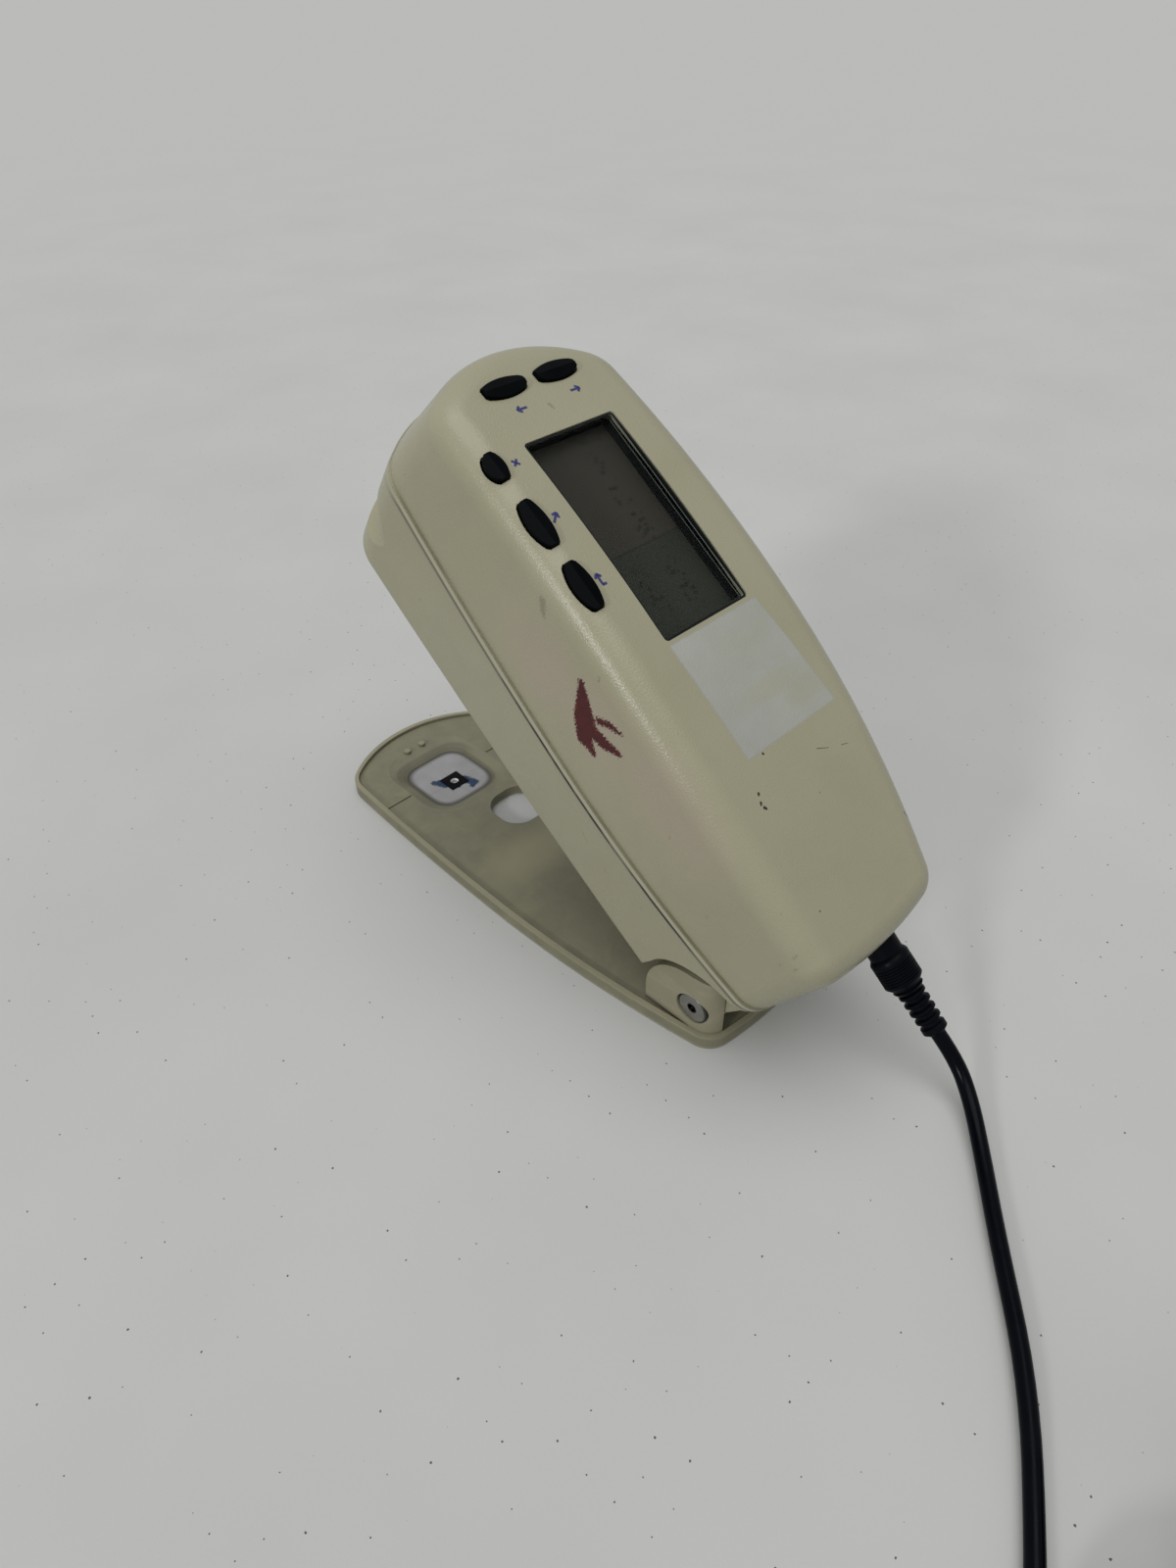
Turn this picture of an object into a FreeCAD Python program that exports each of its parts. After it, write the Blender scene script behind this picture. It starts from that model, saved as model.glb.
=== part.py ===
"""Hand-held photographic densitometer on its hinged shoe, with its adapter lead.

Units are millimetres. +X runs along the hinge axis, +Y points from the hinge to the
measuring nose and +Z is up. The origin lies on the table, straight under the middle of
the hinge axis. The instrument is built shut, level on its shoe, and is then swung open
about the hinge to the angle at which its spring holds it.
"""
import FreeCAD, Part
import math
import os

V = FreeCAD.Vector
X_AXIS, Y_AXIS, Z_AXIS = V(1, 0, 0), V(0, 1, 0), V(0, 0, 1)

# ---------------------------------------------------------------- clearances
FIT = 0.2                 # between pieces that are assembled and stay put
RUNNING = 0.05            # radial, pin in bush
SIDE_PLAY = 0.35          # ear to housing, each side
SWING_GAP = 0.9           # round the ear, as the instrument swings
STOP_GAP = 0.3            # between bodies that come to rest on each other
HOLE_PLAY = 0.3           # radial, round screws, posts and plungers in their holes

# ---------------------------------------------------------------- tool sizes, not sizes of the object
OVERRUN = 1.0             # a cutter passes the face it opens, or a joined piece sinks in, by this much
FAR = 300.0               # longer than the instrument, for cutters that run out of it
NEAR = 0.01               # two points closer than this are the same

# ---------------------------------------------------------------- hinge
HINGE_Z = 13.0            # hinge axis above the table
OPEN_ANGLE = 40.5         # degrees the instrument stands open
PIN_DIAMETER = 5.0        # hinge pin shank
PIN_HEAD_DIAMETER = 10.2
PIN_HEAD_THICKNESS = 1.8
PIN_SOCKET_WIDTH = 3.0    # hexagon socket, across its flats
PIN_SOCKET_DEPTH = 1.2
BUSH_WALL = 1.25
BUSH_LENGTH = 6.0
BARREL_DIAMETER = 14.8    # hinge barrel of the lower housing
ARBOR_DIAMETER = 5.2      # spring arbor in the middle of the barrel
SPRING_WIRE = 1.1
SPRING_TURNS = 6
SPRING_PITCH = 1.9
SPRING_MEAN_DIAMETER = 7.4
SPRING_LEG_Y = 19.0       # far end of the leg that bears on the shoe
SPRING_BEND_Y = 7.4       # where the leg meets the shoe
SPINE_SHARE = 0.7         # of the wire, the bar that joins the turns
POCKET_HALF_WIDTH = 8.0   # spring pocket in the lower housing
POCKET_FRONT = 9.0
POCKET_TOP = 19.0
POCKET_WALL = 2.0
SPRING_FOOT_LIFT = 0.05   # spring foot above the shoe floor

# ---------------------------------------------------------------- plan outline
WIDEST_Y = 80.0           # station of the widest point
BODY_HALF_WIDTH = 35.4    # half the width there, at the parting line
BODY_REAR_BOW = 503.0     # bow radius of the side behind it
BODY_FRONT_BOW = 1350.0   # and ahead of it
BASE_HALF_WIDTH = 31.4    # the same for the foot of the lower housing, nearly straight
BASE_WIDENING = 0.03      # the foot widens towards the nose by this much per millimetre
BASE_BOW = 4000.0
NOSE_RADIUS = 45.0        # plan radius of every nose
REAR_RADIUS = 125.0       # plan radius of every rear wall
BODY_NOSE_Y = 182.4
BODY_REAR_Y = -8.0
NOSE_CORNER = 13.0
REAR_CORNER = 9.5

# ---------------------------------------------------------------- heights of the shells
BASE_Z = 5.9              # foot of the lower housing, shut
PARTING_Z = 39.0
PARTING_GAP = 0.6         # shadow line between the shells
TOP_Z = 79.9              # summit of the cover, over the widest point
CROWN_RADIUS = 472.0      # lengthwise crown of the cover
SHELL_WALL = 2.2
COVER_DRAFT_HEIGHT = 45.0 # height over which the three drafts below are measured
COVER_SIDE_DRAFT = 2.8
COVER_NOSE_DRAFT = 6.5
COVER_REAR_DRAFT = 4.5
BASE_NOSE_DRAFT = 3.4
BASE_REAR_DRAFT = 0.6
TOP_EDGE_RADIUS = 8.5
BASE_EDGE_RADIUS = 3.0
CAVITY_DROP = 4.0         # the inside of the cover starts this far under its edge
BEAD_HEIGHT = 2.6         # bead along the lower edge of the cover
BEAD_PROUD = 0.7
TONGUE_HEIGHT = 2.0       # lip of the lower housing inside the cover
TONGUE_WALL = 1.1
TONGUE_ROOT = 3.0         # how far the lip reaches down the wall that carries it

# ---------------------------------------------------------------- finger groove in the nose
GROOVE_Z = 21.0
GROOVE_DEPTH = 2.2
GROOVE_RADIUS = 9.0
GROOVE_PLAN_RADIUS = 38.0

# ---------------------------------------------------------------- shoe
SHOE_NOSE_Y = 178.2
SHOE_REAR_Y = -11.5
SHOE_NARROWER = 0.5       # shoe side inside the body side
SHOE_FLOOR = 3.6
RIM_HEIGHT = 4.9
RIM_WALL = 1.7
SHOE_NOSE_CORNER = 12.0
SHOE_REAR_CORNER = 8.5
EAR_FACE_X = BODY_HALF_WIDTH - 8.6   # outer face of each ear
EAR_THICKNESS = 5.6
EAR_FRONT = 17.6          # from the hinge axis to the front edge of the ear
EAR_HEEL = -13.5          # and to its rear edge
EAR_OUTLINE = ((EAR_FRONT, -4.0), (14.3, 7.2), (6.5, 13.1), (-0.4, 14.2), (-7.3, 13.3), (-11.6, 9.8),
               (EAR_HEEL, 4.0))   # three arcs in turn, y and z from the hinge axis
PIN_HEAD_RECESS = 0.5     # pin head below the face of the ear
PIN_HEAD_CHAMFER = 0.3
NOTCH_RADIUS = 19.2       # recess of the housing round the ear
NOTCH_Y, NOTCH_RISE = -0.5, 4.0   # its centre, from the hinge axis

# ---------------------------------------------------------------- target in the shoe
TARGET_X = -2.0
TARGET_Y = 141.2          # centre of the measuring aperture
WINDOW_WIDTH = 26.0
WINDOW_LENGTH = 27.6
WINDOW_CORNER = 7.0
WINDOW_OFFSET = 2.9       # window centre ahead of the aperture
WINDOW_THICKNESS = 1.2
WINDOW_MARGIN = 1.4       # of the window, hidden under the floor
WINDOW_Z = 0.1            # underside of the window above the table
WELL_SIDE_SLOPE = 5.0     # width of the sloped wall of the well
WELL_NOSE_SLOPE = 8.6
MASK_SIZE = 8.0           # black square round the aperture
MASK_THICKNESS = 0.3
APERTURE_DIAMETER = 3.2
FINGER_HOLE_WIDTH = 20.0  # second opening in the shoe floor
FINGER_HOLE_LENGTH = 19.4
FINGER_HOLE_CORNER = 8.0
FINGER_HOLE_X = 4.9
FINGER_HOLE_Y = 111.2
RIB_WIDTH = 0.8           # short ribs beside the window
RIB_HEIGHT = 0.5
RIB_START = 0.5           # from the edge of the well
CLIP_DIAMETER = 2.6       # two small catches on the nose slope
CLIP_SPACING = 7.0
CLIP_Y = 166.0
CLIP_HEIGHT = 0.9

# ---------------------------------------------------------------- display
DISPLAY_WIDTH = 29.8      # inside the display frame
DISPLAY_LENGTH = 58.8
DISPLAY_Y = 119.5
DISPLAY_CORNER = 0.5
FRAME_LIP = 0.45          # visible width of the display frame
FRAME_SHY = 0.35          # frame below the cover surface
FRAME_DEPTH = 7.6
FRAME_STEP = 0.6          # seat of the window inside the frame
FRAME_FLANGE = 2.0        # flange under the cover
FRAME_FLANGE_DROP = 3.5
FRAME_FLANGE_THICKNESS = 1.2
PANE_DROP = 1.5           # window below the middle of the crowned cover
PANE_THICKNESS = 1.4
LCD_DROP = 6.2
LCD_THICKNESS = 1.9

# ---------------------------------------------------------------- keys
KEY_LENGTH = 13.2
KEY_WIDTH = 5.7           # at the middle of its bowed sides
KEY_END_WIDTH = 3.4
KEY_END_CHAMFER = 0.7
ESCAPE_LENGTH = 7.8
ESCAPE_WIDTH = 5.2
SIDE_KEY_X = 8.9 - BODY_HALF_WIDTH
SIDE_KEY_TILT = 11.0      # degrees, the side keys lie on the shoulder of the cover
SIDE_KEY_DROP = 0.35      # shoulder below the middle of the cover there
ESCAPE_Y, UP_Y, ENTER_Y = 146.4, 129.2, 110.9
NOSE_KEY_X = 8.75
NOSE_KEY_Y = 165.5
KEY_PROUD = 1.3           # ridge of a key above the cover
KEY_RIDGE = 0.6           # ridge above the long edges
KEY_TRAVEL = 0.8
KEY_CLEARANCE = 0.3
KEY_FLANGE_REACH = 1.6    # flange beyond each end, which keeps the key in the cover
KEY_FLANGE_THICKNESS = 0.8
KEY_WELL_WIDTH = 6.6      # clear space under the cover round a key
KEY_WELL_DEPTH = 9.0
DOME_DIAMETER = 3.6
MAT_THICKNESS = 1.0
MAT_INSET = 0.5           # mat inside the edge of its board

# ---------------------------------------------------------------- inside the shells
BOARD_THICKNESS = 1.6
BOARD_SIDE_ROOM = 7.4     # each board inside the widest half width of its shell
MAIN_BOARD_WIDTH = 2 * (BASE_HALF_WIDTH - BOARD_SIDE_ROOM)
MAIN_BOARD_LENGTH = 86.0
MAIN_BOARD_Y = 107.0
MAIN_BOARD_Z = 35.0
STANDOFFS = ((MAIN_BOARD_WIDTH / 2 - 3.0, MAIN_BOARD_Y + MAIN_BOARD_LENGTH / 2 - 3.0),
             (MAIN_BOARD_WIDTH / 2 - 3.5, MAIN_BOARD_Y - 11.0))
STANDOFF_DIAMETER = 5.0
CONTROL_BOARD_Z = 63.0
CONTROL_BOARD_WIDTH = 2 * (BODY_HALF_WIDTH - BOARD_SIDE_ROOM)
CONTROL_BOARD_REAR, CONTROL_BOARD_FRONT = 96.0, 152.0
TONGUE_BOARD_WIDTH = 34.0
TONGUE_BOARD_FRONT = 170.0
HANGERS = ((21.0, 100.5), (21.0, 138.0))
HANGER_DIAMETER = 4.0
BOARD_SCREW_DIAMETER = 2.0
BOARD_SCREW_HEAD = 3.8
POST_DIAMETER = 8.4
COVER_POST_DIAMETER = 6.6
POSTS = ((BODY_HALF_WIDTH - 10.9, 32.0), (BODY_HALF_WIDTH - 12.9, 158.0))
SCREW_DIAMETER = 2.8
SCREW_HOLE = 3.1
SCREW_HEAD_DIAMETER = 5.4
SCREW_HEAD_HEIGHT = 1.8
SCREW_SEAT_Z = 28.0
SCREW_TIP_Z = 50.0
OPTICS_WIDTH = 30.0
OPTICS_LENGTH = 40.0
OPTICS_HEIGHT = 22.0
OPTICS_BORE = 16.0
LENS_LENGTH = 12.0
LAMP_DIAMETER = 5.0
LAMP_LENGTH = 9.0
LAMP_RISE = 5.5           # lamp axis above the floor of the housing
LAMP_PROUD = 1.0
SENSOR_BOARD_INSET = 2.0
SNOUT_TOP_DIAMETER = 24.0
SNOUT_TIP_DIAMETER = 11.0
SNOUT_BORE = 6.0
SNOUT_CLEARANCE = 0.6     # snout above the target when shut
SNOUT_HOLE = 25.6
CELL_DIAMETER = 14.0
CELL_LENGTH = 49.0
CELL_COUNT = 3
CELL_CAP_DIAMETER = 5.0
CELL_CAP_HEIGHT = 1.0
BATTERY_Y = 64.0
CRADLE_WALL = 1.5
CRADLE_FLOOR = 0.8
CRADLE_HEIGHT = 10.8
SWITCH_X, SWITCH_Y = BODY_HALF_WIDTH - 10.9, 120.0
SWITCH_WIDTH, SWITCH_LENGTH, SWITCH_HEIGHT = 6.5, 20.0, 10.0
PLUNGER_DIAMETER = 3.0
RIBBON_WIDTH = 14.0
RIBBON_THICKNESS = 0.4
RIBBON_Y = 98.0
RIBBON_SOCKET = (18.0, 4.5, 3.2)   # width, length and height of its two sockets
CHIP = (0.0, 14.0, 20.0, 20.0, 2.4)      # x, y from the board's middle, width, length, height
MEMORY = (12.0, -23.0, 10.0, 18.0, 2.0)
BOARD_SCREW_LENGTH = 6.0

# ---------------------------------------------------------------- sockets and lead
PLUG_X = 13.3
PLUG_Z = 52.0
PLUG_NECK_DIAMETER = 12.2
PLUG_NECK_LENGTH = 6.9
PLUG_GRIP_DIAMETER = 14.0
PLUG_GRIP_LENGTH = 8.5
PLUG_TAPER_LENGTH = 2.0
PLUG_BARREL_DIAMETER = 5.5
PLUG_BARREL_BORE = 2.6
PLUG_BARREL_LENGTH = 8.0
PLUG_STANDOFF = 0.2       # plug face to the rear wall
SOCKET_BORE = 5.9
SOCKET_NECK = 9.6
SOCKET_PIN = 2.0
SOCKET_DEPTH = 11.0
SOCKET_BODY = 11.0        # width and height of its body
SOCKET_PIN_START = 2.0    # pin below the mouth
RELIEF_LENGTH = 15.0
RELIEF_ROOT_DIAMETER = 8.6
RELIEF_TIP_DIAMETER = 7.2
RELIEF_CORE_DIAMETER = 5.8
RELIEF_RIBS = 5
RELIEF_RIB_SHARE = 0.62   # of each pitch, taken by the rib
CORD_DIAMETER = 4.5
ARC_SHARE = 0.45          # of the shorter run, taken by each bend at either end
COIL_MID_DIAMETER = 54.0
COIL_LAYERS = 3
COIL_ENTRY_ANGLE = 115.9  # degrees round the coil at which the cord joins its outermost turn
ROUTE_AFTER_RELIEF = ((13.3, -63.0, 11.1), (8.6, -71.5, 5.4), (-1.5, -81.0, 2.8), (-19.3, -95.2, 2.5),
                      (-45.5, -117.2, 2.5), (-74.6, -133.6, 2.5), (-103.2, -147.5, 2.5))
ADAPTER_LENGTH = 48.0
ADAPTER_WIDTH = 36.0
ADAPTER_HEIGHT = 27.0
ADAPTER_EDGE_RADIUS = 3.0
ADAPTER_BACK = 5.6        # middle of the adapter behind the middle of the coil
PRONG_WIDTH = 6.3
PRONG_LENGTH = 17.0
PRONG_THICKNESS = 1.5
PRONG_SPACING = 12.7


# ================================================================ helpers
def cylinder(diameter, start, direction, length):
    return Part.makeCylinder(diameter / 2, length, start, direction)


def block(centre_x, centre_y, z0, width, length, height):
    return Part.makeBox(width, length, height, V(centre_x - width / 2, centre_y - length / 2, z0))


def rounded_block(centre_x, centre_y, z0, width, length, height, radius):
    """A block with its four upright edges rounded."""
    plain = block(centre_x, centre_y, z0, width, length, height)
    upright = [e for e in plain.Edges if abs(e.tangentAt(e.FirstParameter).z) > 0.9]
    return plain.makeFillet(radius, upright)


def rounded_rectangle(centre_x, centre_y, z, width, length, radius):
    """Wire of a rectangle with round corners, level at z."""
    thin = rounded_block(centre_x, centre_y, z, width, length, 1.0, radius)
    face = min(thin.Faces, key=lambda f: f.CenterOfMass.z)
    return face.OuterWire


def mirrored(shape):
    return shape.mirror(V(0, 0, 0), X_AXIS)


def both_sides(shape):
    return shape.fuse(mirrored(shape))


def fused(shapes):
    return shapes[0].multiFuse(shapes[1:])


def cut_all(shape, tools):
    return shape.cut(Part.makeCompound(tools))


# ================================================================ plan outline
class Side:
    """Bowed side of a plan outline: a rear arc and a front arc, tangent at the widest station."""

    def __init__(self, half_width, widening, rear_radius, front_radius):
        slant = math.hypot(1.0, widening)
        inward = (-1.0 / slant, widening / slant)
        self.rear = (half_width + inward[0] * rear_radius, WIDEST_Y + inward[1] * rear_radius, rear_radius)
        self.front = (half_width + inward[0] * front_radius, WIDEST_Y + inward[1] * front_radius,
                      front_radius)

    def half_width(self, y):
        centre_x, centre_y, radius = self.front if y > WIDEST_Y else self.rear
        return centre_x + math.sqrt(radius ** 2 - (y - centre_y) ** 2)


def body_side(inset=0.0):
    return Side(BODY_HALF_WIDTH - inset, 0.0, BODY_REAR_BOW, BODY_FRONT_BOW)


def base_side(inset=0.0):
    return Side(BASE_HALF_WIDTH - inset, BASE_WIDENING, BASE_BOW, BASE_BOW)


def meeting_y(side, end_y, radius, sign):
    """Y where a side meets the end arc (sign +1 for the nose, -1 for the rear)."""
    centre_y = end_y - sign * radius
    outer, inner = end_y, centre_y
    for _ in range(60):
        y = (outer + inner) / 2
        arc_x = math.sqrt(max(radius ** 2 - (y - centre_y) ** 2, 0.0))
        if arc_x < side.half_width(y):
            outer = y
        else:
            inner = y
    return (outer + inner) / 2


def plan_wire(side, nose_y, rear_y, z):
    """Six arcs: nose, two front sides, two rear sides and the rear."""
    nose = meeting_y(side, nose_y, NOSE_RADIUS, 1)
    rear = meeting_y(side, rear_y, REAR_RADIUS, -1)
    mid_front = (nose + WIDEST_Y) / 2
    mid_rear = (rear + WIDEST_Y) / 2

    def at(y, sign):
        return V(sign * side.half_width(y), y, z)

    arcs = [Part.Arc(at(rear, 1), at(mid_rear, 1), at(WIDEST_Y, 1)),
            Part.Arc(at(WIDEST_Y, 1), at(mid_front, 1), at(nose, 1)),
            Part.Arc(at(nose, 1), V(0, nose_y, z), at(nose, -1)),
            Part.Arc(at(nose, -1), at(mid_front, -1), at(WIDEST_Y, -1)),
            Part.Arc(at(WIDEST_Y, -1), at(mid_rear, -1), at(rear, -1)),
            Part.Arc(at(rear, -1), V(0, rear_y, z), at(rear, 1))]
    return Part.Wire([arc.toShape() for arc in arcs])


def plan_form(lower, upper, nose_corner, rear_corner):
    """Solid between two plan outlines, with its four corners rounded."""
    solid = Part.makeLoft([lower, upper], True, True)
    corners = []
    for edge in solid.Edges:
        ends = [v.Point for v in edge.Vertexes]
        rises = abs(ends[0].z - ends[-1].z) > NEAR if len(ends) == 2 else False
        if rises and abs(ends[0].y - WIDEST_Y) > NEAR:
            corners.append(edge)
    nose_middles = [e.CenterOfMass for e in corners if e.Vertexes[0].Point.y > WIDEST_Y]
    rear_middles = [e.CenterOfMass for e in corners if e.Vertexes[0].Point.y < WIDEST_Y]
    for radius, middles in ((nose_corner, nose_middles), (rear_corner, rear_middles)):
        found = [e for e in solid.Edges
                 if any(e.CenterOfMass.distanceToPoint(middle) < NEAR for middle in middles)]
        solid = solid.makeFillet(radius, found)
    return solid


def body_prism(inset, z0, z1):
    """Upright prism of the parting outline, set in by inset."""
    wires = [plan_wire(body_side(inset), BODY_NOSE_Y - inset, BODY_REAR_Y + inset, z) for z in (z0, z1)]
    return plan_form(wires[0], wires[1], NOSE_CORNER - inset, REAR_CORNER - inset)


def shoe_prism(inset, z0, z1):
    wires = [plan_wire(body_side(SHOE_NARROWER + inset), SHOE_NOSE_Y - inset, SHOE_REAR_Y + inset, z)
             for z in (z0, z1)]
    return plan_form(wires[0], wires[1], SHOE_NOSE_CORNER - inset, SHOE_REAR_CORNER - inset)


def perimeter_edges(solid, up):
    """Edges round the top (up 1) or bottom (up -1) of a solid, without the seams inside it."""
    flat = []
    for face in solid.Faces:
        u0, u1, v0, v1 = face.ParameterRange
        normal = face.normalAt((u0 + u1) / 2, (v0 + v1) / 2)
        if normal.z * up > 0.9:
            flat.append(face)
    edges = [e for face in flat for e in face.Edges]
    return [e for e in edges if sum(1 for other in edges if other.isSame(e)) == 1]


# ================================================================ top of the cover
def top_height(y):
    """Height of the middle of the cover at station y."""
    return TOP_Z - CROWN_RADIUS + math.sqrt(CROWN_RADIUS ** 2 - (y - WIDEST_Y) ** 2)


def under_crown(inset):
    """Everything under the crowned top, set down by inset."""
    half = BODY_HALF_WIDTH + TOP_EDGE_RADIUS
    nose, back = BODY_NOSE_Y + TOP_EDGE_RADIUS, BODY_REAR_Y - TOP_EDGE_RADIUS
    radius = CROWN_RADIUS - inset
    centre_z = TOP_Z - CROWN_RADIUS

    def on_crown(y):
        return V(-half, y, centre_z + math.sqrt(radius ** 2 - (y - WIDEST_Y) ** 2))

    low_back, low_nose = V(-half, back, 0), V(-half, nose, 0)
    edges = [Part.Arc(on_crown(nose), on_crown(WIDEST_Y), on_crown(back)).toShape(),
             Part.LineSegment(on_crown(back), low_back).toShape(),
             Part.LineSegment(low_back, low_nose).toShape(),
             Part.LineSegment(low_nose, on_crown(nose)).toShape()]
    return Part.Face(Part.Wire(edges)).extrude(V(2 * half, 0, 0))


def on_cover(shape, x, y, drop=0.0, tilt=0.0):
    """Place a shape, drawn round the origin with +Z outward, on the top of the cover."""
    slope = math.degrees(math.asin(-(y - WIDEST_Y) / CROWN_RADIUS))
    turn = FreeCAD.Rotation(X_AXIS, slope).multiply(FreeCAD.Rotation(Y_AXIS, -tilt))
    place = FreeCAD.Placement(V(x, y, top_height(y) - drop), turn)
    return shape.transformed(place.Matrix)


# ================================================================ shells
def cover_form(inset):
    """Outside of the cover (inset 0) or the space inside it (inset one wall)."""
    bottom = PARTING_Z + PARTING_GAP / 2
    floor_z = bottom if inset == 0 else bottom - CAVITY_DROP
    lower = plan_wire(body_side(inset), BODY_NOSE_Y - inset, BODY_REAR_Y + inset, floor_z)
    upper = plan_wire(body_side(inset + COVER_SIDE_DRAFT), BODY_NOSE_Y - inset - COVER_NOSE_DRAFT,
                      BODY_REAR_Y + inset + COVER_REAR_DRAFT, bottom + COVER_DRAFT_HEIGHT)
    form = plan_form(lower, upper, NOSE_CORNER - inset, REAR_CORNER - inset)
    form = form.common(under_crown(inset))
    return form.makeFillet(TOP_EDGE_RADIUS - inset, perimeter_edges(form, 1))


def bead():
    """Low bead along both sides of the cover's lower edge, dying out at the corners."""
    bottom = PARTING_Z + PARTING_GAP / 2
    side = body_side(-BEAD_PROUD)
    wires = [plan_wire(side, BODY_NOSE_Y, BODY_REAR_Y, z) for z in (bottom, bottom + BEAD_HEIGHT)]
    return plan_form(wires[0], wires[1], NOSE_CORNER, REAR_CORNER)


def key_outline(length, width, end_width, z0, z1):
    """Key shape in plan: bowed long sides, straight ends with clipped corners. Length runs along Y."""
    half, clip = length / 2, KEY_END_CHAMFER
    end, middle = end_width / 2, width / 2
    right = Part.Arc(V(end, -half + clip, z0), V(middle, 0, z0), V(end, half - clip, z0)).toShape()
    left = Part.Arc(V(-end, half - clip, z0), V(-middle, 0, z0), V(-end, -half + clip, z0)).toShape()
    front = Part.makePolygon([V(end, half - clip, z0), V(end - clip, half, z0),
                              V(-end + clip, half, z0), V(-end, half - clip, z0)])
    rear = Part.makePolygon([V(-end, -half + clip, z0), V(-end + clip, -half, z0),
                             V(end - clip, -half, z0), V(end, -half + clip, z0)])
    wire = Part.Wire([right] + front.Edges + [left] + rear.Edges)
    return Part.Face(wire).extrude(V(0, 0, z1 - z0))


# name: x, y, length, width, tilt, drop and quarter turns about the outward direction
KEYS = {
    "key_escape": (SIDE_KEY_X, ESCAPE_Y, ESCAPE_LENGTH, ESCAPE_WIDTH, SIDE_KEY_TILT, SIDE_KEY_DROP, 0),
    "key_up": (SIDE_KEY_X, UP_Y, KEY_LENGTH, KEY_WIDTH, SIDE_KEY_TILT, SIDE_KEY_DROP, 0),
    "key_enter": (SIDE_KEY_X, ENTER_Y, KEY_LENGTH, KEY_WIDTH, SIDE_KEY_TILT, SIDE_KEY_DROP, 0),
    "key_left": (-NOSE_KEY_X, NOSE_KEY_Y, KEY_LENGTH, KEY_WIDTH, 0.0, 0.0, 1),
    "key_right": (NOSE_KEY_X, NOSE_KEY_Y, KEY_LENGTH, KEY_WIDTH, 0.0, 0.0, 1),
}
KEY_FLANGE_TOP = -(SHELL_WALL + STOP_GAP)
KEY_BOTTOM = KEY_FLANGE_TOP - KEY_FLANGE_THICKNESS
DOME_TOP = KEY_BOTTOM - KEY_TRAVEL - STOP_GAP


def set_key(shape, name):
    x, y, _, _, tilt, drop, turns = KEYS[name]
    turned = shape.copy()
    turned.rotate(V(0, 0, 0), Z_AXIS, 90 * turns)
    return on_cover(turned, x, y, drop, tilt)


def key(name):
    _, _, length, width, _, _, _ = KEYS[name]
    body = key_outline(length, width, KEY_END_WIDTH, KEY_BOTTOM, KEY_PROUD)
    roof = Part.makePolygon([V(-width, -length, KEY_PROUD - 2 * KEY_RIDGE), V(0, -length, KEY_PROUD),
                             V(width, -length, KEY_PROUD - 2 * KEY_RIDGE),
                             V(width, -length, KEY_BOTTOM - OVERRUN),
                             V(-width, -length, KEY_BOTTOM - OVERRUN),
                             V(-width, -length, KEY_PROUD - 2 * KEY_RIDGE)])
    body = body.common(Part.Face(roof).extrude(V(0, 2 * length, 0)))
    flange = block(0, 0, KEY_BOTTOM, KEY_END_WIDTH, length + 2 * KEY_FLANGE_REACH, KEY_FLANGE_THICKNESS)
    return set_key(body.fuse(flange).removeSplitter(), name)


def key_hole(name):
    _, _, length, width, _, _, _ = KEYS[name]
    grow = 2 * KEY_CLEARANCE
    hole = key_outline(length + grow, width + grow, KEY_END_WIDTH + grow, -KEY_WELL_DEPTH, TOP_EDGE_RADIUS)
    return set_key(hole, name)


def key_well(name):
    length = KEYS[name][2] + 2 * (KEY_FLANGE_REACH + KEY_CLEARANCE)
    return set_key(block(0, 0, -KEY_WELL_DEPTH, KEY_WELL_WIDTH, length, KEY_WELL_DEPTH - SHELL_WALL), name)


def rear_wall_y(x, z):
    """Outer face of the cover's rear wall, which is bowed in plan and drafted."""
    rise = z - (PARTING_Z + PARTING_GAP / 2)
    bow = REAR_RADIUS - math.sqrt(REAR_RADIUS ** 2 - x ** 2)
    return BODY_REAR_Y + bow + COVER_REAR_DRAFT * rise / COVER_DRAFT_HEIGHT


def top_cover():
    cavity = cover_form(SHELL_WALL)
    shell = cover_form(0).fuse(bead()).cut(cavity)
    keep = cover_form(SHELL_WALL - FIT)
    posts = []
    for x, y in POSTS:
        low = PARTING_Z + PARTING_GAP
        posts.append(both_sides(cylinder(COVER_POST_DIAMETER, V(x, y, low), Z_AXIS, TOP_Z - low)))
    for x, y in HANGERS:
        low = CONTROL_BOARD_Z + BOARD_THICKNESS
        posts.append(both_sides(cylinder(HANGER_DIAMETER, V(x, y, low), Z_AXIS, TOP_Z - low)))
    shell = fused([shell] + [post.common(keep) for post in posts])
    room = FRAME_LIP + FIT
    opening = display_ring(room, -2 * FRAME_DEPTH, FRAME_DEPTH)
    holes = [on_cover(opening, 0, DISPLAY_Y)]
    holes += [key_hole(name) for name in KEYS]
    holes += [key_well(name) for name in KEYS]
    for x, y in POSTS:
        holes.append(both_sides(cylinder(SCREW_HOLE, V(x, y, PARTING_Z), Z_AXIS,
                                         SCREW_TIP_Z + OVERRUN - PARTING_Z)))
    for x, y in HANGERS:
        holes.append(both_sides(cylinder(BOARD_SCREW_DIAMETER + FIT, V(x, y, CONTROL_BOARD_Z), Z_AXIS,
                                         BOARD_SCREW_LENGTH + OVERRUN)))
    mouth = V(PLUG_X, rear_wall_y(PLUG_X, PLUG_Z) - 2 * OVERRUN, PLUG_Z)
    holes.append(cylinder(SOCKET_NECK + 2 * FIT, mouth, Y_AXIS, SHELL_WALL + 4 * OVERRUN))
    return cut_all(shell, holes)


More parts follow.
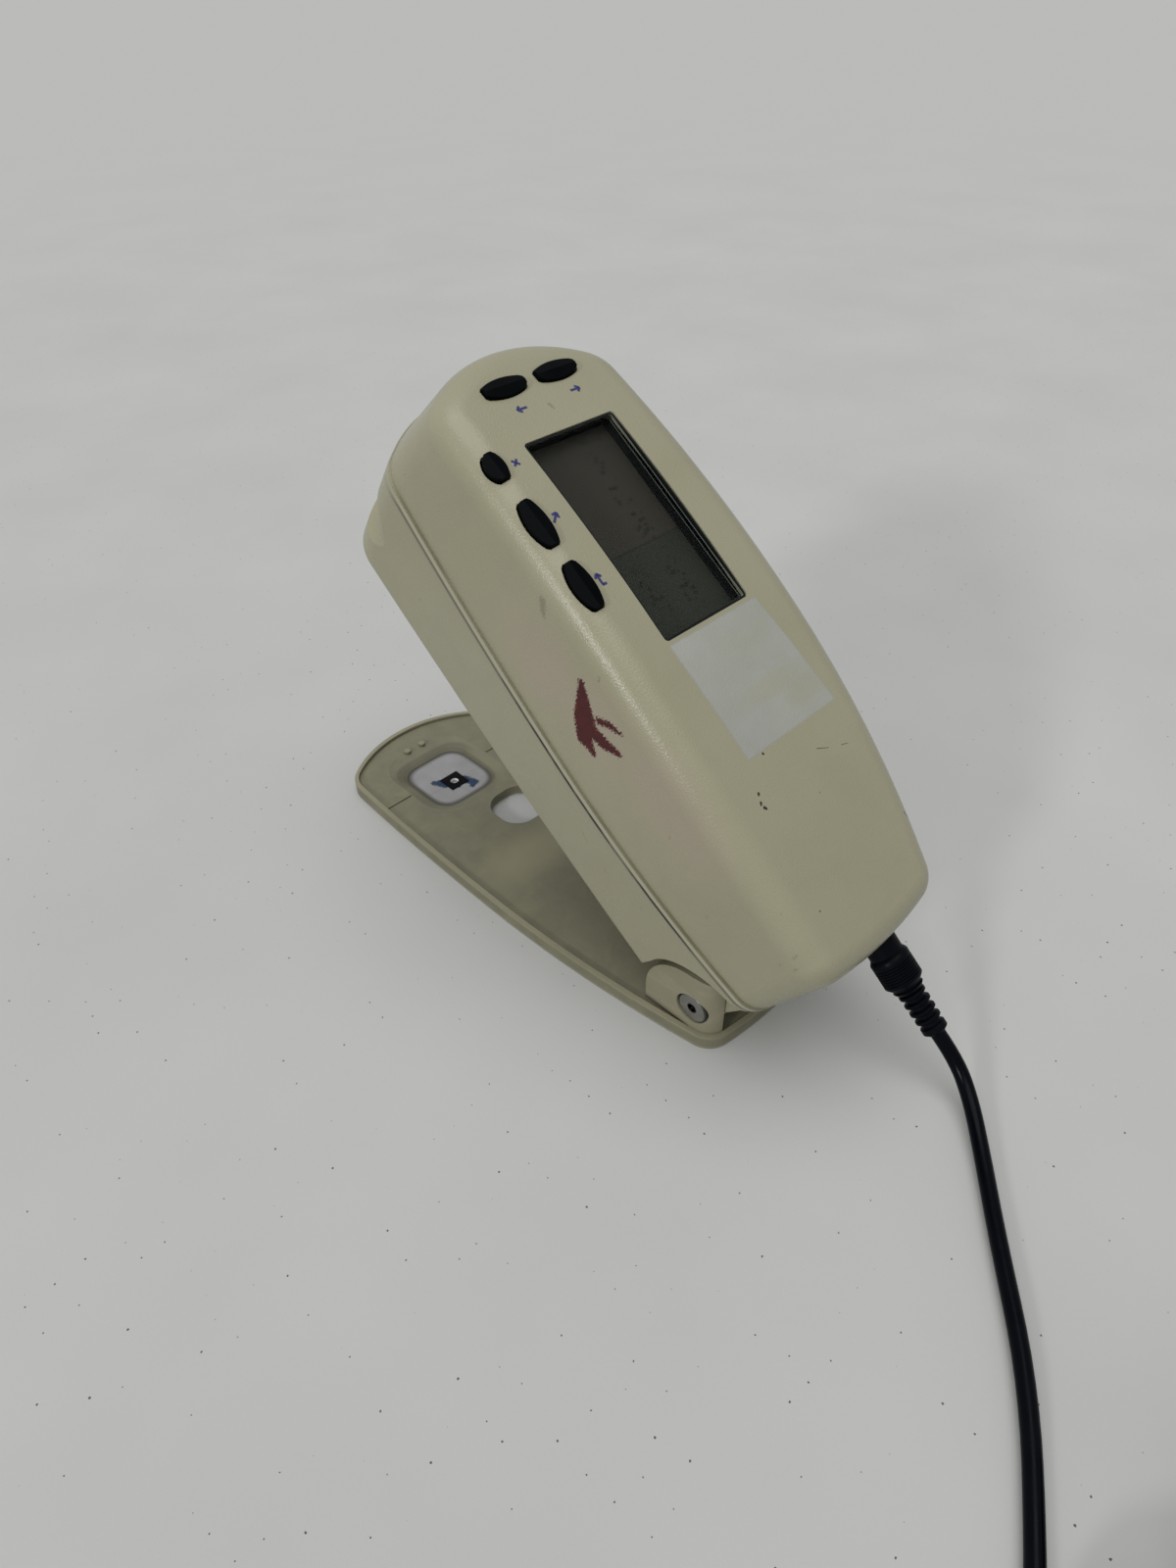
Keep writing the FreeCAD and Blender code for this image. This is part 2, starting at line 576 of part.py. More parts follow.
def ear_profile():
    """Side view of an ear of the shoe, a rounded hump behind a straight front edge."""
    points = [V(0, y, HINGE_Z + z) for y, z in EAR_OUTLINE]
    root_front, root_heel = V(0, EAR_FRONT, SHOE_FLOOR - OVERRUN), V(0, EAR_HEEL, SHOE_FLOOR - OVERRUN)
    arcs = [Part.Arc(*points[i:i + 3]).toShape() for i in (0, 2, 4)]
    lines = [Part.LineSegment(points[-1], root_heel).toShape(),
             Part.LineSegment(root_heel, root_front).toShape(),
             Part.LineSegment(root_front, points[0]).toShape()]
    return Part.Face(Part.Wire(arcs + lines))


def notch(grow, depth_from):
    """Recess in each side of the lower housing in which an ear stands."""
    radius = NOTCH_RADIUS + grow
    centre_z = HINGE_Z + NOTCH_RISE
    front = EAR_FRONT + SWING_GAP + grow
    round_part = cylinder(2 * radius, V(depth_from, NOTCH_Y, centre_z), X_AXIS, FAR)
    low = Part.makeBox(FAR, front + FAR, HINGE_Z + OVERRUN, V(depth_from, -FAR, 0))
    rear = Part.makeBox(FAR, FAR, centre_z + radius, V(depth_from, NOTCH_Y - FAR, 0))
    return both_sides(fused([round_part, low, rear]))


def groove(grow):
    """Finger groove round the nose only; the ring behind it would cut into the sides."""
    radius = GROOVE_RADIUS + grow
    major = GROOVE_PLAN_RADIUS + GROOVE_RADIUS - GROOVE_DEPTH
    centre_y = BODY_NOSE_Y - GROOVE_PLAN_RADIUS
    ring = Part.makeTorus(major, radius, V(0, centre_y, GROOVE_Z), Z_AXIS)
    return ring.common(Part.makeBox(2 * FAR, FAR, 2 * FAR, V(-FAR, centre_y, -FAR)))


def base_form(inset):
    top = PARTING_Z - PARTING_GAP / 2
    lower = plan_wire(base_side(inset), BODY_NOSE_Y - BASE_NOSE_DRAFT - inset,
                      BODY_REAR_Y + BASE_REAR_DRAFT + inset, BASE_Z)
    upper = plan_wire(body_side(inset), BODY_NOSE_Y - inset, BODY_REAR_Y + inset, top)
    return plan_form(lower, upper, NOSE_CORNER - inset, REAR_CORNER - inset)


def slab(front, top, half_width=FAR, back=-FAR):
    """Everything behind front and under top, as wide as twice half_width."""
    return Part.makeBox(2 * half_width, front - back, top + FAR, V(-half_width, back, -FAR))


def lower_housing():
    recess_x = EAR_FACE_X - EAR_THICKNESS - SIDE_PLAY
    floor_top = BASE_Z + SHELL_WALL
    top = PARTING_Z - PARTING_GAP / 2
    outer = base_form(0)
    outer = outer.makeFillet(BASE_EDGE_RADIUS, perimeter_edges(outer, -1))
    barrel = cylinder(BARREL_DIAMETER, V(-recess_x, 0, HINGE_Z), X_AXIS, 2 * recess_x)
    heel = slab(0, HINGE_Z).cut(cylinder(BARREL_DIAMETER, V(-FAR, 0, HINGE_Z), X_AXIS, 2 * FAR))
    outer = cut_all(outer, [heel, groove(0)]).fuse(barrel)

    keep_out = [groove(SHELL_WALL),
                notch(SHELL_WALL, recess_x - SHELL_WALL),
                barrel,
                slab(POCKET_WALL, HINGE_Z + SHELL_WALL),
                slab(POCKET_FRONT + POCKET_WALL, POCKET_TOP + POCKET_WALL, POCKET_HALF_WIDTH + POCKET_WALL),
                slab(FAR, floor_top)]
    cavity = cut_all(base_form(SHELL_WALL), keep_out)

    narrowing = COVER_NOSE_DRAFT / (COVER_DRAFT_HEIGHT + CAVITY_DROP)
    lip = SHELL_WALL + FIT + narrowing * (CAVITY_DROP + PARTING_GAP + TONGUE_HEIGHT)
    root = top - TONGUE_ROOT
    tongue = body_prism(lip, root, top + PARTING_GAP + TONGUE_HEIGHT).fuse(
        body_prism(SHELL_WALL / 2, root, top - FIT))
    tongue = tongue.cut(body_prism(lip + TONGUE_WALL, root - OVERRUN, top + TONGUE_HEIGHT + TONGUE_ROOT))

    posts = []
    foot = floor_top - OVERRUN
    for x, y in POSTS:
        posts.append(both_sides(cylinder(POST_DIAMETER, V(x, y, foot), Z_AXIS, top - foot - OVERRUN)))
    for x, y in STANDOFFS:
        posts.append(both_sides(cylinder(STANDOFF_DIAMETER, V(x, y, foot), Z_AXIS, MAIN_BOARD_Z - foot)))
    housing = fused([outer.cut(cavity), tongue] + [post.common(outer) for post in posts])

    behind_barrel = Part.makeBox(2 * FAR, FAR, FAR, V(-FAR, -FAR - BARREL_DIAMETER / 2, HINGE_Z))
    holes = [notch(0, recess_x), slab(POCKET_FRONT, POCKET_TOP, POCKET_HALF_WIDTH).cut(behind_barrel)]
    bush_bore = PIN_DIAMETER + 2 * (RUNNING + BUSH_WALL)
    holes.append(both_sides(cylinder(bush_bore, V(recess_x + OVERRUN, 0, HINGE_Z), -X_AXIS,
                                     BUSH_LENGTH + OVERRUN)))
    holes.append(cylinder(SNOUT_HOLE, V(TARGET_X, TARGET_Y, 0), Z_AXIS, floor_top + OVERRUN))
    holes.append(cylinder(PLUNGER_DIAMETER + 2 * HOLE_PLAY, V(SWITCH_X, SWITCH_Y, 0), Z_AXIS,
                          floor_top + OVERRUN))
    for x, y in POSTS:
        holes.append(both_sides(cylinder(SCREW_HEAD_DIAMETER + 2 * HOLE_PLAY, V(x, y, 0), Z_AXIS,
                                         SCREW_SEAT_Z)))
        holes.append(both_sides(cylinder(SCREW_HOLE, V(x, y, 0), Z_AXIS, top + OVERRUN)))
    for x, y in STANDOFFS:
        holes.append(both_sides(cylinder(BOARD_SCREW_DIAMETER + FIT, V(x, y, MAIN_BOARD_Z + OVERRUN), -Z_AXIS,
                                         BOARD_SCREW_LENGTH + OVERRUN)))
    housing = cut_all(housing, holes)
    reach = POCKET_HALF_WIDTH + OVERRUN
    arbor = cylinder(ARBOR_DIAMETER, V(-reach, 0, HINGE_Z), X_AXIS, 2 * reach)
    return housing.fuse(arbor).removeSplitter()


# ================================================================ shoe and hinge
def target_block(grow, z0, height):
    """Upright block with the plan of the target window, larger by grow on each side."""
    return rounded_block(TARGET_X, TARGET_Y + WINDOW_OFFSET, z0, WINDOW_WIDTH + 2 * grow,
                         WINDOW_LENGTH + 2 * grow, height, WINDOW_CORNER + grow)


def target_well():
    """Sloped sides that lead from the floor of the shoe down to the window."""
    low_z = WINDOW_Z + WINDOW_THICKNESS
    centre_y = TARGET_Y + WINDOW_OFFSET
    low = rounded_rectangle(TARGET_X, centre_y, low_z, WINDOW_WIDTH, WINDOW_LENGTH, WINDOW_CORNER)
    high = rounded_rectangle(TARGET_X, centre_y + (WELL_NOSE_SLOPE - WELL_SIDE_SLOPE) / 2, SHOE_FLOOR,
                             WINDOW_WIDTH + 2 * WELL_SIDE_SLOPE,
                             WINDOW_LENGTH + WELL_SIDE_SLOPE + WELL_NOSE_SLOPE,
                             WINDOW_CORNER + WELL_SIDE_SLOPE)
    return Part.makeLoft([low, high], True, True)


def shoe_ear():
    """The +X ear, with the bore and counterbore of its pin."""
    ear = ear_profile()
    ear.translate(V(EAR_FACE_X - EAR_THICKNESS, 0, 0))
    ear = ear.extrude(V(EAR_THICKNESS, 0, 0)).common(shoe_prism(RIM_WALL - NEAR, 0, FAR))
    outside = V(EAR_FACE_X + OVERRUN, 0, HINGE_Z)
    head_bore = cylinder(PIN_HEAD_DIAMETER + 2 * HOLE_PLAY, outside, -X_AXIS,
                         OVERRUN + PIN_HEAD_RECESS + PIN_HEAD_THICKNESS)
    shank_bore = cylinder(PIN_DIAMETER + 2 * RUNNING, outside, -X_AXIS, EAR_THICKNESS + 2 * OVERRUN)
    return cut_all(ear, [head_bore, shank_bore])


def shoe_plate():
    plate = shoe_prism(0, 0, RIM_HEIGHT).cut(shoe_prism(RIM_WALL, SHOE_FLOOR, RIM_HEIGHT + OVERRUN))
    plate = plate.fuse(both_sides(shoe_ear()))
    finger_hole = rounded_block(FINGER_HOLE_X, FINGER_HOLE_Y, -OVERRUN, FINGER_HOLE_WIDTH, FINGER_HOLE_LENGTH,
                                SHOE_FLOOR + 2 * OVERRUN, FINGER_HOLE_CORNER)
    seat = target_block(WINDOW_MARGIN + FIT, -OVERRUN, OVERRUN + WINDOW_Z + WINDOW_THICKNESS)
    plate = cut_all(plate, [target_well(), seat, target_block(0, -OVERRUN, 2 * OVERRUN + WINDOW_THICKNESS),
                            finger_hole])

    rib_y = TARGET_Y + WINDOW_OFFSET
    tray_half = body_side(SHOE_NARROWER + RIM_WALL).half_width(rib_y)
    additions = []
    for sign in (-1, 1):
        start = TARGET_X + sign * (WINDOW_WIDTH / 2 + WELL_SIDE_SLOPE + RIB_START)
        end = sign * (tray_half + FIT)
        additions.append(block((start + end) / 2, rib_y, SHOE_FLOOR - FIT, abs(end - start), RIB_WIDTH,
                               RIB_HEIGHT + FIT))
        catch = V(TARGET_X + sign * CLIP_SPACING / 2, CLIP_Y, SHOE_FLOOR / 2)
        additions.append(cylinder(CLIP_DIAMETER, catch, Z_AXIS, SHOE_FLOOR / 2 + CLIP_HEIGHT))
    return fused([plate] + additions).removeSplitter()


def aperture_hole():
    return cylinder(APERTURE_DIAMETER, V(TARGET_X, TARGET_Y, -OVERRUN), Z_AXIS, SHOE_FLOOR + 2 * OVERRUN)


def target_window():
    return target_block(WINDOW_MARGIN, WINDOW_Z, WINDOW_THICKNESS).cut(aperture_hole())


def aperture_mask():
    square = block(TARGET_X, TARGET_Y, WINDOW_Z + WINDOW_THICKNESS, MASK_SIZE, MASK_SIZE, MASK_THICKNESS)
    return square.cut(aperture_hole())


def hinge_pin():
    """Pin on the +X side: flat head with a hexagon socket, and a plain shank."""
    face_x = EAR_FACE_X - PIN_HEAD_RECESS
    recess_x = EAR_FACE_X - EAR_THICKNESS - SIDE_PLAY
    head = cylinder(PIN_HEAD_DIAMETER, V(face_x, 0, HINGE_Z), -X_AXIS, PIN_HEAD_THICKNESS)
    rim = [e for e in head.Edges if abs(e.CenterOfMass.x - face_x) < NEAR]
    head = head.makeChamfer(PIN_HEAD_CHAMFER, rim[:1])
    shank = cylinder(PIN_DIAMETER, V(face_x - PIN_HEAD_THICKNESS, 0, HINGE_Z), -X_AXIS,
                     face_x - PIN_HEAD_THICKNESS - recess_x + BUSH_LENGTH - FIT)
    corner = PIN_SOCKET_WIDTH / 2 / math.cos(math.radians(30))
    points = [V(face_x + OVERRUN, corner * math.cos(math.radians(60 * i)),
                HINGE_Z + corner * math.sin(math.radians(60 * i))) for i in range(7)]
    socket = Part.Face(Part.makePolygon(points)).extrude(V(-OVERRUN - PIN_SOCKET_DEPTH, 0, 0))
    return head.fuse(shank).cut(socket).removeSplitter()


def hinge_bush():
    """Bush on the +X side, flush with the housing."""
    outside = PIN_DIAMETER + 2 * (RUNNING + BUSH_WALL)
    start = V(EAR_FACE_X - EAR_THICKNESS - SIDE_PLAY, 0, HINGE_Z)
    tube = cylinder(outside, start, -X_AXIS, BUSH_LENGTH)
    return tube.cut(cylinder(PIN_DIAMETER + 2 * RUNNING, start + X_AXIS, -X_AXIS, BUSH_LENGTH + 2 * OVERRUN))


def spring_ring(x, radius):
    """One turn of the spring, of eight-sided wire."""
    points = []
    for i in range(9):
        angle = math.radians(22.5 + 45 * i)
        points.append(V(x + SPRING_WIRE / 2 * math.cos(angle), 0,
                        HINGE_Z + radius + SPRING_WIRE / 2 * math.sin(angle)))
    return Part.Face(Part.makePolygon(points)).revolve(V(0, 0, HINGE_Z), X_AXIS, 360)


def torsion_spring():
    """Close coils round the arbor and one leg that slopes down to the shoe and runs forward."""
    radius = SPRING_MEAN_DIAMETER / 2
    width = SPRING_PITCH * SPRING_TURNS
    coils = [spring_ring(-width / 2 + SPRING_PITCH * i, radius) for i in range(SPRING_TURNS + 1)]
    side = SPRING_WIRE * SPINE_SHARE
    spine = block(0, 0, HINGE_Z + radius - side / 2, width, side, side)
    leg_z = SHOE_FLOOR + SPRING_WIRE / 2 + SPRING_FOOT_LIFT
    start = V(-width / 2, 0, HINGE_Z - radius)
    bend = V(-width / 2, SPRING_BEND_Y, leg_z)
    end = V(-width / 2, SPRING_LEG_Y, leg_z)
    slope = cylinder(SPRING_WIRE, start, bend - start, (bend - start).Length)
    elbow = Part.makeSphere(SPRING_WIRE / 2, bend)
    foot = cylinder(SPRING_WIRE, bend, end - bend, (end - bend).Length)
    return fused(coils + [spine, slope, elbow, foot])


# ================================================================ display, keys and boards
def display_ring(grow, low, high):
    return rounded_block(0, 0, low, DISPLAY_WIDTH + 2 * grow, DISPLAY_LENGTH + 2 * grow, high - low,
                         DISPLAY_CORNER + grow)


def display_frame():
    ring = display_ring(FRAME_LIP, -FRAME_DEPTH, OVERRUN)
    flange_top = -FRAME_FLANGE_DROP
    flange = display_ring(FRAME_LIP + FRAME_FLANGE, flange_top - FRAME_FLANGE_THICKNESS, flange_top)
    ring = ring.fuse(flange).cut(display_ring(0, -2 * FRAME_DEPTH, 2 * OVERRUN))
    ring = ring.cut(display_ring(FRAME_STEP, -2 * FRAME_DEPTH, -PANE_DROP))
    return on_cover(ring, 0, DISPLAY_Y).common(under_crown(FRAME_SHY))


def display_window():
    pane = display_ring(FRAME_STEP - FIT, -PANE_THICKNESS, 0)
    return on_cover(pane, 0, DISPLAY_Y, PANE_DROP + RUNNING)


def lcd_panel():
    return on_cover(display_ring(FRAME_STEP - FIT, -LCD_DROP - LCD_THICKNESS, -LCD_DROP), 0, DISPLAY_Y)


def through_holes(places, diameter):
    """Upright cutters at the given places and at their mirror images."""
    return [both_sides(cylinder(diameter, V(x, y, 0), Z_AXIS, FAR)) for x, y in places]


def control_board_plan(z0, z1, inset):
    rear, front = CONTROL_BOARD_REAR + inset, CONTROL_BOARD_FRONT - inset
    main = Part.makeBox(CONTROL_BOARD_WIDTH - 2 * inset, front - rear, z1 - z0,
                        V(-CONTROL_BOARD_WIDTH / 2 + inset, rear, z0))
    tab = Part.makeBox(TONGUE_BOARD_WIDTH - 2 * inset, TONGUE_BOARD_FRONT - inset - rear, z1 - z0,
                       V(-TONGUE_BOARD_WIDTH / 2 + inset, rear, z0))
    return main.fuse(tab).removeSplitter()


def control_board():
    board = control_board_plan(CONTROL_BOARD_Z, CONTROL_BOARD_Z + BOARD_THICKNESS, 0)
    return cut_all(board, through_holes(HANGERS, BOARD_SCREW_DIAMETER + 2 * FIT))


def keypad_mat():
    """Elastomer sheet on the control board with a dome under each key."""
    z0 = CONTROL_BOARD_Z + BOARD_THICKNESS
    sheet = control_board_plan(z0, z0 + MAT_THICKNESS, MAT_INSET)
    sheet = cut_all(sheet, through_holes(HANGERS, HANGER_DIAMETER + 2 * HOLE_PLAY))
    domes = [set_key(cylinder(DOME_DIAMETER, V(0, 0, DOME_TOP), -Z_AXIS, TOP_Z - z0), name) for name in KEYS]
    above = Part.makeBox(2 * FAR, 2 * FAR, FAR, V(-FAR, -FAR, z0 + MAT_THICKNESS / 2))
    return fused([sheet] + [dome.common(above) for dome in domes])


def main_board():
    board = block(0, MAIN_BOARD_Y, MAIN_BOARD_Z, MAIN_BOARD_WIDTH, MAIN_BOARD_LENGTH, BOARD_THICKNESS)
    board = cut_all(board, through_holes(STANDOFFS, BOARD_SCREW_DIAMETER + 2 * FIT))
    chips = [block(x, MAIN_BOARD_Y + y, MAIN_BOARD_Z + BOARD_THICKNESS, width, length, height)
             for x, y, width, length, height in (CHIP, MEMORY)]
    return fused([board] + chips)


def display_ribbon():
    low, high = MAIN_BOARD_Z + BOARD_THICKNESS, CONTROL_BOARD_Z
    width, length, height = RIBBON_SOCKET
    strip = block(0, RIBBON_Y, low + OVERRUN, RIBBON_WIDTH, RIBBON_THICKNESS, high - low - 2 * OVERRUN)
    ends = [block(0, RIBBON_Y, z, width, length, height) for z in (low, high - height)]
    return fused([strip] + ends)


def screws(places, seat_z, length, up, head, shank):
    """Screws at the given places and at their mirror images; up is 1 if they point up, else -1."""
    pieces = []
    direction = V(0, 0, up)
    head_height = SCREW_HEAD_HEIGHT * head / SCREW_HEAD_DIAMETER
    for x, y in places:
        seat = V(x, y, seat_z)
        body = cylinder(head, seat, -direction, head_height)
        body = body.fuse(cylinder(shank, seat, direction, length)).removeSplitter()
        pieces += [body, mirrored(body)]
    return Part.makeCompound(pieces)


def housing_screws():
    return screws(POSTS, SCREW_SEAT_Z, SCREW_TIP_Z - SCREW_SEAT_Z, 1, SCREW_HEAD_DIAMETER, SCREW_DIAMETER)


def main_board_screws():
    return screws(STANDOFFS, MAIN_BOARD_Z + BOARD_THICKNESS, BOARD_SCREW_LENGTH, -1, BOARD_SCREW_HEAD,
                  BOARD_SCREW_DIAMETER)


def control_board_screws():
    return screws(HANGERS, CONTROL_BOARD_Z, BOARD_SCREW_LENGTH, 1, BOARD_SCREW_HEAD, BOARD_SCREW_DIAMETER)


# ================================================================ optics, battery and sockets
def optics_housing():
    z0 = BASE_Z + SHELL_WALL
    body = block(TARGET_X, TARGET_Y, z0, OPTICS_WIDTH, OPTICS_LENGTH, OPTICS_HEIGHT)
    bore = cylinder(OPTICS_BORE, V(TARGET_X, TARGET_Y, 0), Z_AXIS, FAR)
    lamp_bore = cylinder(LAMP_DIAMETER + 2 * FIT, V(TARGET_X, TARGET_Y, z0 + LAMP_RISE), X_AXIS, OPTICS_WIDTH)
    return cut_all(body, [bore, lamp_bore])


def lens_barrel():
    top = V(TARGET_X, TARGET_Y, BASE_Z + SHELL_WALL + OPTICS_HEIGHT)
    return cylinder(OPTICS_BORE - 2 * FIT, top, -Z_AXIS, LENS_LENGTH)


def lamp():
    outer_end = V(TARGET_X + OPTICS_WIDTH / 2 + LAMP_PROUD, TARGET_Y, BASE_Z + SHELL_WALL + LAMP_RISE)
    return cylinder(LAMP_DIAMETER, outer_end, -X_AXIS, LAMP_LENGTH)


def sensor_board():
    z0 = BASE_Z + SHELL_WALL + OPTICS_HEIGHT
    return block(TARGET_X, TARGET_Y, z0, OPTICS_WIDTH - 2 * SENSOR_BOARD_INSET,
                 OPTICS_LENGTH - 2 * SENSOR_BOARD_INSET, BOARD_THICKNESS)


def aperture_snout():
    tip = V(TARGET_X, TARGET_Y, WINDOW_Z + WINDOW_THICKNESS + MASK_THICKNESS + SNOUT_CLEARANCE)
    height = BASE_Z + SHELL_WALL - tip.z
    cone = Part.makeCone(SNOUT_TIP_DIAMETER / 2, SNOUT_TOP_DIAMETER / 2, height, tip, Z_AXIS)
    return cone.cut(Part.makeCone(SNOUT_BORE / 2, OPTICS_BORE / 2, height, tip, Z_AXIS))


def battery_cells():
    z = BASE_Z + SHELL_WALL + CRADLE_FLOOR + CELL_DIAMETER / 2
    cells = []
    for i in range(CELL_COUNT):
        x = (i - (CELL_COUNT - 1) / 2) * (CELL_DIAMETER + FIT)
        start = V(x, BATTERY_Y - CELL_LENGTH / 2, z)
        body = cylinder(CELL_DIAMETER, start, Y_AXIS, CELL_LENGTH - CELL_CAP_HEIGHT)
        cap = cylinder(CELL_CAP_DIAMETER, start, Y_AXIS, CELL_LENGTH)
        cells.append(body.fuse(cap).removeSplitter())
    return Part.makeCompound(cells)


def battery_cradle():
    z0 = BASE_Z + SHELL_WALL
    width = CELL_COUNT * (CELL_DIAMETER + FIT)
    inside = CELL_LENGTH + 2 * FIT
    tray = block(0, BATTERY_Y, z0, width, inside + 2 * CRADLE_WALL, CRADLE_HEIGHT)
    return tray.cut(block(0, BATTERY_Y, z0 + CRADLE_FLOOR, width + 2 * OVERRUN, inside, CRADLE_HEIGHT))


def measure_switch():
    z0 = BASE_Z + SHELL_WALL
    body = block(SWITCH_X, SWITCH_Y, z0, SWITCH_WIDTH, SWITCH_LENGTH, SWITCH_HEIGHT)
    plunger = cylinder(PLUNGER_DIAMETER, V(SWITCH_X, SWITCH_Y, SHOE_FLOOR + STOP_GAP), Z_AXIS,
                       z0 - SHOE_FLOOR - STOP_GAP + OVERRUN)
    return body.fuse(plunger).removeSplitter()


def power_socket():
    """Round neck flush with the rear wall, a square body behind it and the contact pin."""
    mouth = V(PLUG_X, rear_wall_y(PLUG_X, PLUG_Z) + FIT, PLUG_Z)
    half = SOCKET_BODY / 2
    inside = rear_wall_y(PLUG_X + half, PLUG_Z + half) + SHELL_WALL + FIT
    neck = cylinder(SOCKET_NECK, mouth, Y_AXIS, inside - mouth.y + OVERRUN)
    body = block(PLUG_X, inside + SOCKET_DEPTH / 2, PLUG_Z - half, SOCKET_BODY, SOCKET_DEPTH, SOCKET_BODY)
    bore = cylinder(SOCKET_BORE, mouth - Y_AXIS, Y_AXIS, SOCKET_DEPTH)
    pin = cylinder(SOCKET_PIN, mouth + Y_AXIS * SOCKET_PIN_START, Y_AXIS, SOCKET_DEPTH)
    return neck.fuse(body).cut(bore).fuse(pin).removeSplitter()


# ================================================================ lead
def plug_face_y():
    """The end of the plug that faces the rear wall; its rim stays clear of the drafted wall."""
    radius = PLUG_NECK_DIAMETER / 2
    return rear_wall_y(PLUG_X - radius, PLUG_Z - radius) - PLUG_STANDOFF


def lead_plug():
    face = plug_face_y()
    axis = V(PLUG_X, face, PLUG_Z)
    barrel = cylinder(PLUG_BARREL_DIAMETER, axis - Y_AXIS, Y_AXIS, PLUG_BARREL_LENGTH + OVERRUN).cut(
        cylinder(PLUG_BARREL_BORE, axis, Y_AXIS, PLUG_BARREL_LENGTH + OVERRUN))
    neck = cylinder(PLUG_NECK_DIAMETER, axis, -Y_AXIS, PLUG_NECK_LENGTH)
    grip_start = axis - V(0, PLUG_NECK_LENGTH, 0)
    grip = cylinder(PLUG_GRIP_DIAMETER, grip_start, -Y_AXIS, PLUG_GRIP_LENGTH)
    taper = Part.makeCone(PLUG_GRIP_DIAMETER / 2, RELIEF_ROOT_DIAMETER / 2, PLUG_TAPER_LENGTH,
                          grip_start - V(0, PLUG_GRIP_LENGTH, 0), -Y_AXIS)
    return fused([barrel, neck, grip, taper]).removeSplitter()


def plug_end_y():
    return plug_face_y() - PLUG_NECK_LENGTH - PLUG_GRIP_LENGTH - PLUG_TAPER_LENGTH


def strain_relief():
    """Ribbed sleeve: a core with rings that shrink towards the cord."""
    start = V(PLUG_X, plug_end_y(), PLUG_Z)
    core = cylinder(RELIEF_CORE_DIAMETER, start, -Y_AXIS, RELIEF_LENGTH)
    pitch = RELIEF_LENGTH / RELIEF_RIBS
    rings = []
    for i in range(RELIEF_RIBS):
        share = i / (RELIEF_RIBS - 1)
        diameter = RELIEF_ROOT_DIAMETER + (RELIEF_TIP_DIAMETER - RELIEF_ROOT_DIAMETER) * share
        rings.append(cylinder(diameter, start - V(0, pitch * i, 0), -Y_AXIS, pitch * RELIEF_RIB_SHARE))
    return fused([core] + rings).removeSplitter()


def swung(shape):
    """Turn a piece of the shut instrument to the open angle."""
    turned = shape.copy()
    turned.rotate(V(0, 0, HINGE_Z), X_AXIS, OPEN_ANGLE)
    return turned


def swung_point(point):
    marker = Part.Vertex(point)
    marker.rotate(V(0, 0, HINGE_Z), X_AXIS, OPEN_ANGLE)
    return marker.Point


def coil_centre():
    joint = V(*ROUTE_AFTER_RELIEF[-1])
    radius = (COIL_MID_DIAMETER + (COIL_LAYERS - 1) * CORD_DIAMETER) / 2
    angle = math.radians(COIL_ENTRY_ANGLE)
    return V(joint.x - radius * math.cos(angle), joint.y - radius * math.sin(angle), 0)


def cord_route():
    """Points of the cord from the end of the strain relief to where it joins the coil."""
    start = swung_point(V(PLUG_X, plug_end_y() - RELIEF_LENGTH - STOP_GAP, PLUG_Z))
    return [start] + [V(*point) for point in ROUTE_AFTER_RELIEF]


def rounded_path(points):
    """Straight runs joined by tangent arcs, each as large as its two runs allow, and the arcs' radii."""
    edges, radii = [], []
    here = points[0]
    for i in range(1, len(points) - 1):
        before, corner, after = points[i - 1], points[i], points[i + 1]
        back, ahead = before - corner, after - corner
        run = min(back.Length, ahead.Length)
        back.normalize()
        ahead.normalize()
        half_turn = (math.pi - back.getAngle(ahead)) / 2
        reach = ARC_SHARE * run
        start, end = corner + back * reach, corner + ahead * reach
        bisector = back + ahead
        bisector.normalize()
        sagitta = reach * (1 / math.cos(half_turn) - 1) / math.tan(half_turn)
        middle = corner + bisector * sagitta
        edges.append(Part.LineSegment(here, start).toShape())
        edges.append(Part.Arc(start, middle, end).toShape())
        radii.append(reach / math.tan(half_turn))
        here = end
    edges.append(Part.LineSegment(here, points[-1]).toShape())
    return Part.Wire(edges), radii


def cord_run():
    """Tube along the rounded route. Its length, bend radii and volume are printed to be looked at."""
    route = cord_route()
    path, radii = rounded_path(route)
    direction = (route[1] - route[0]).normalize()
    section = Part.Wire(Part.makeCircle(CORD_DIAMETER / 2, route[0], direction))
    tube = path.makePipeShell([section], True, False)
    swept = math.pi / 4 * CORD_DIAMETER ** 2 * path.Length
    print("cord run", round(path.Length, 1), "long, bend radii", [round(radius, 1) for radius in radii],
          "and volume", round(tube.Volume / swept, 4), "of section times length")
    return tube


def cord_coil():
    outer = COIL_MID_DIAMETER / 2 + COIL_LAYERS * CORD_DIAMETER / 2
    inner = COIL_MID_DIAMETER / 2 - COIL_LAYERS * CORD_DIAMETER / 2
    height = COIL_LAYERS * CORD_DIAMETER
    ring = Part.makeCylinder(outer, height, coil_centre(), Z_AXIS)
    return ring.cut(Part.makeCylinder(inner, height, coil_centre(), Z_AXIS))


def adapter_centre():
    """The adapter lies against the coil, on the side of the plug."""
    coil_radius = (COIL_MID_DIAMETER + COIL_LAYERS * CORD_DIAMETER) / 2
    return coil_centre() + V(coil_radius + ADAPTER_LENGTH / 2, -ADAPTER_BACK, 0)


def power_adapter():
    centre = adapter_centre()
    plain = block(centre.x, centre.y, 0, ADAPTER_LENGTH, ADAPTER_WIDTH, ADAPTER_HEIGHT)
    return plain.makeFillet(ADAPTER_EDGE_RADIUS, plain.Edges)


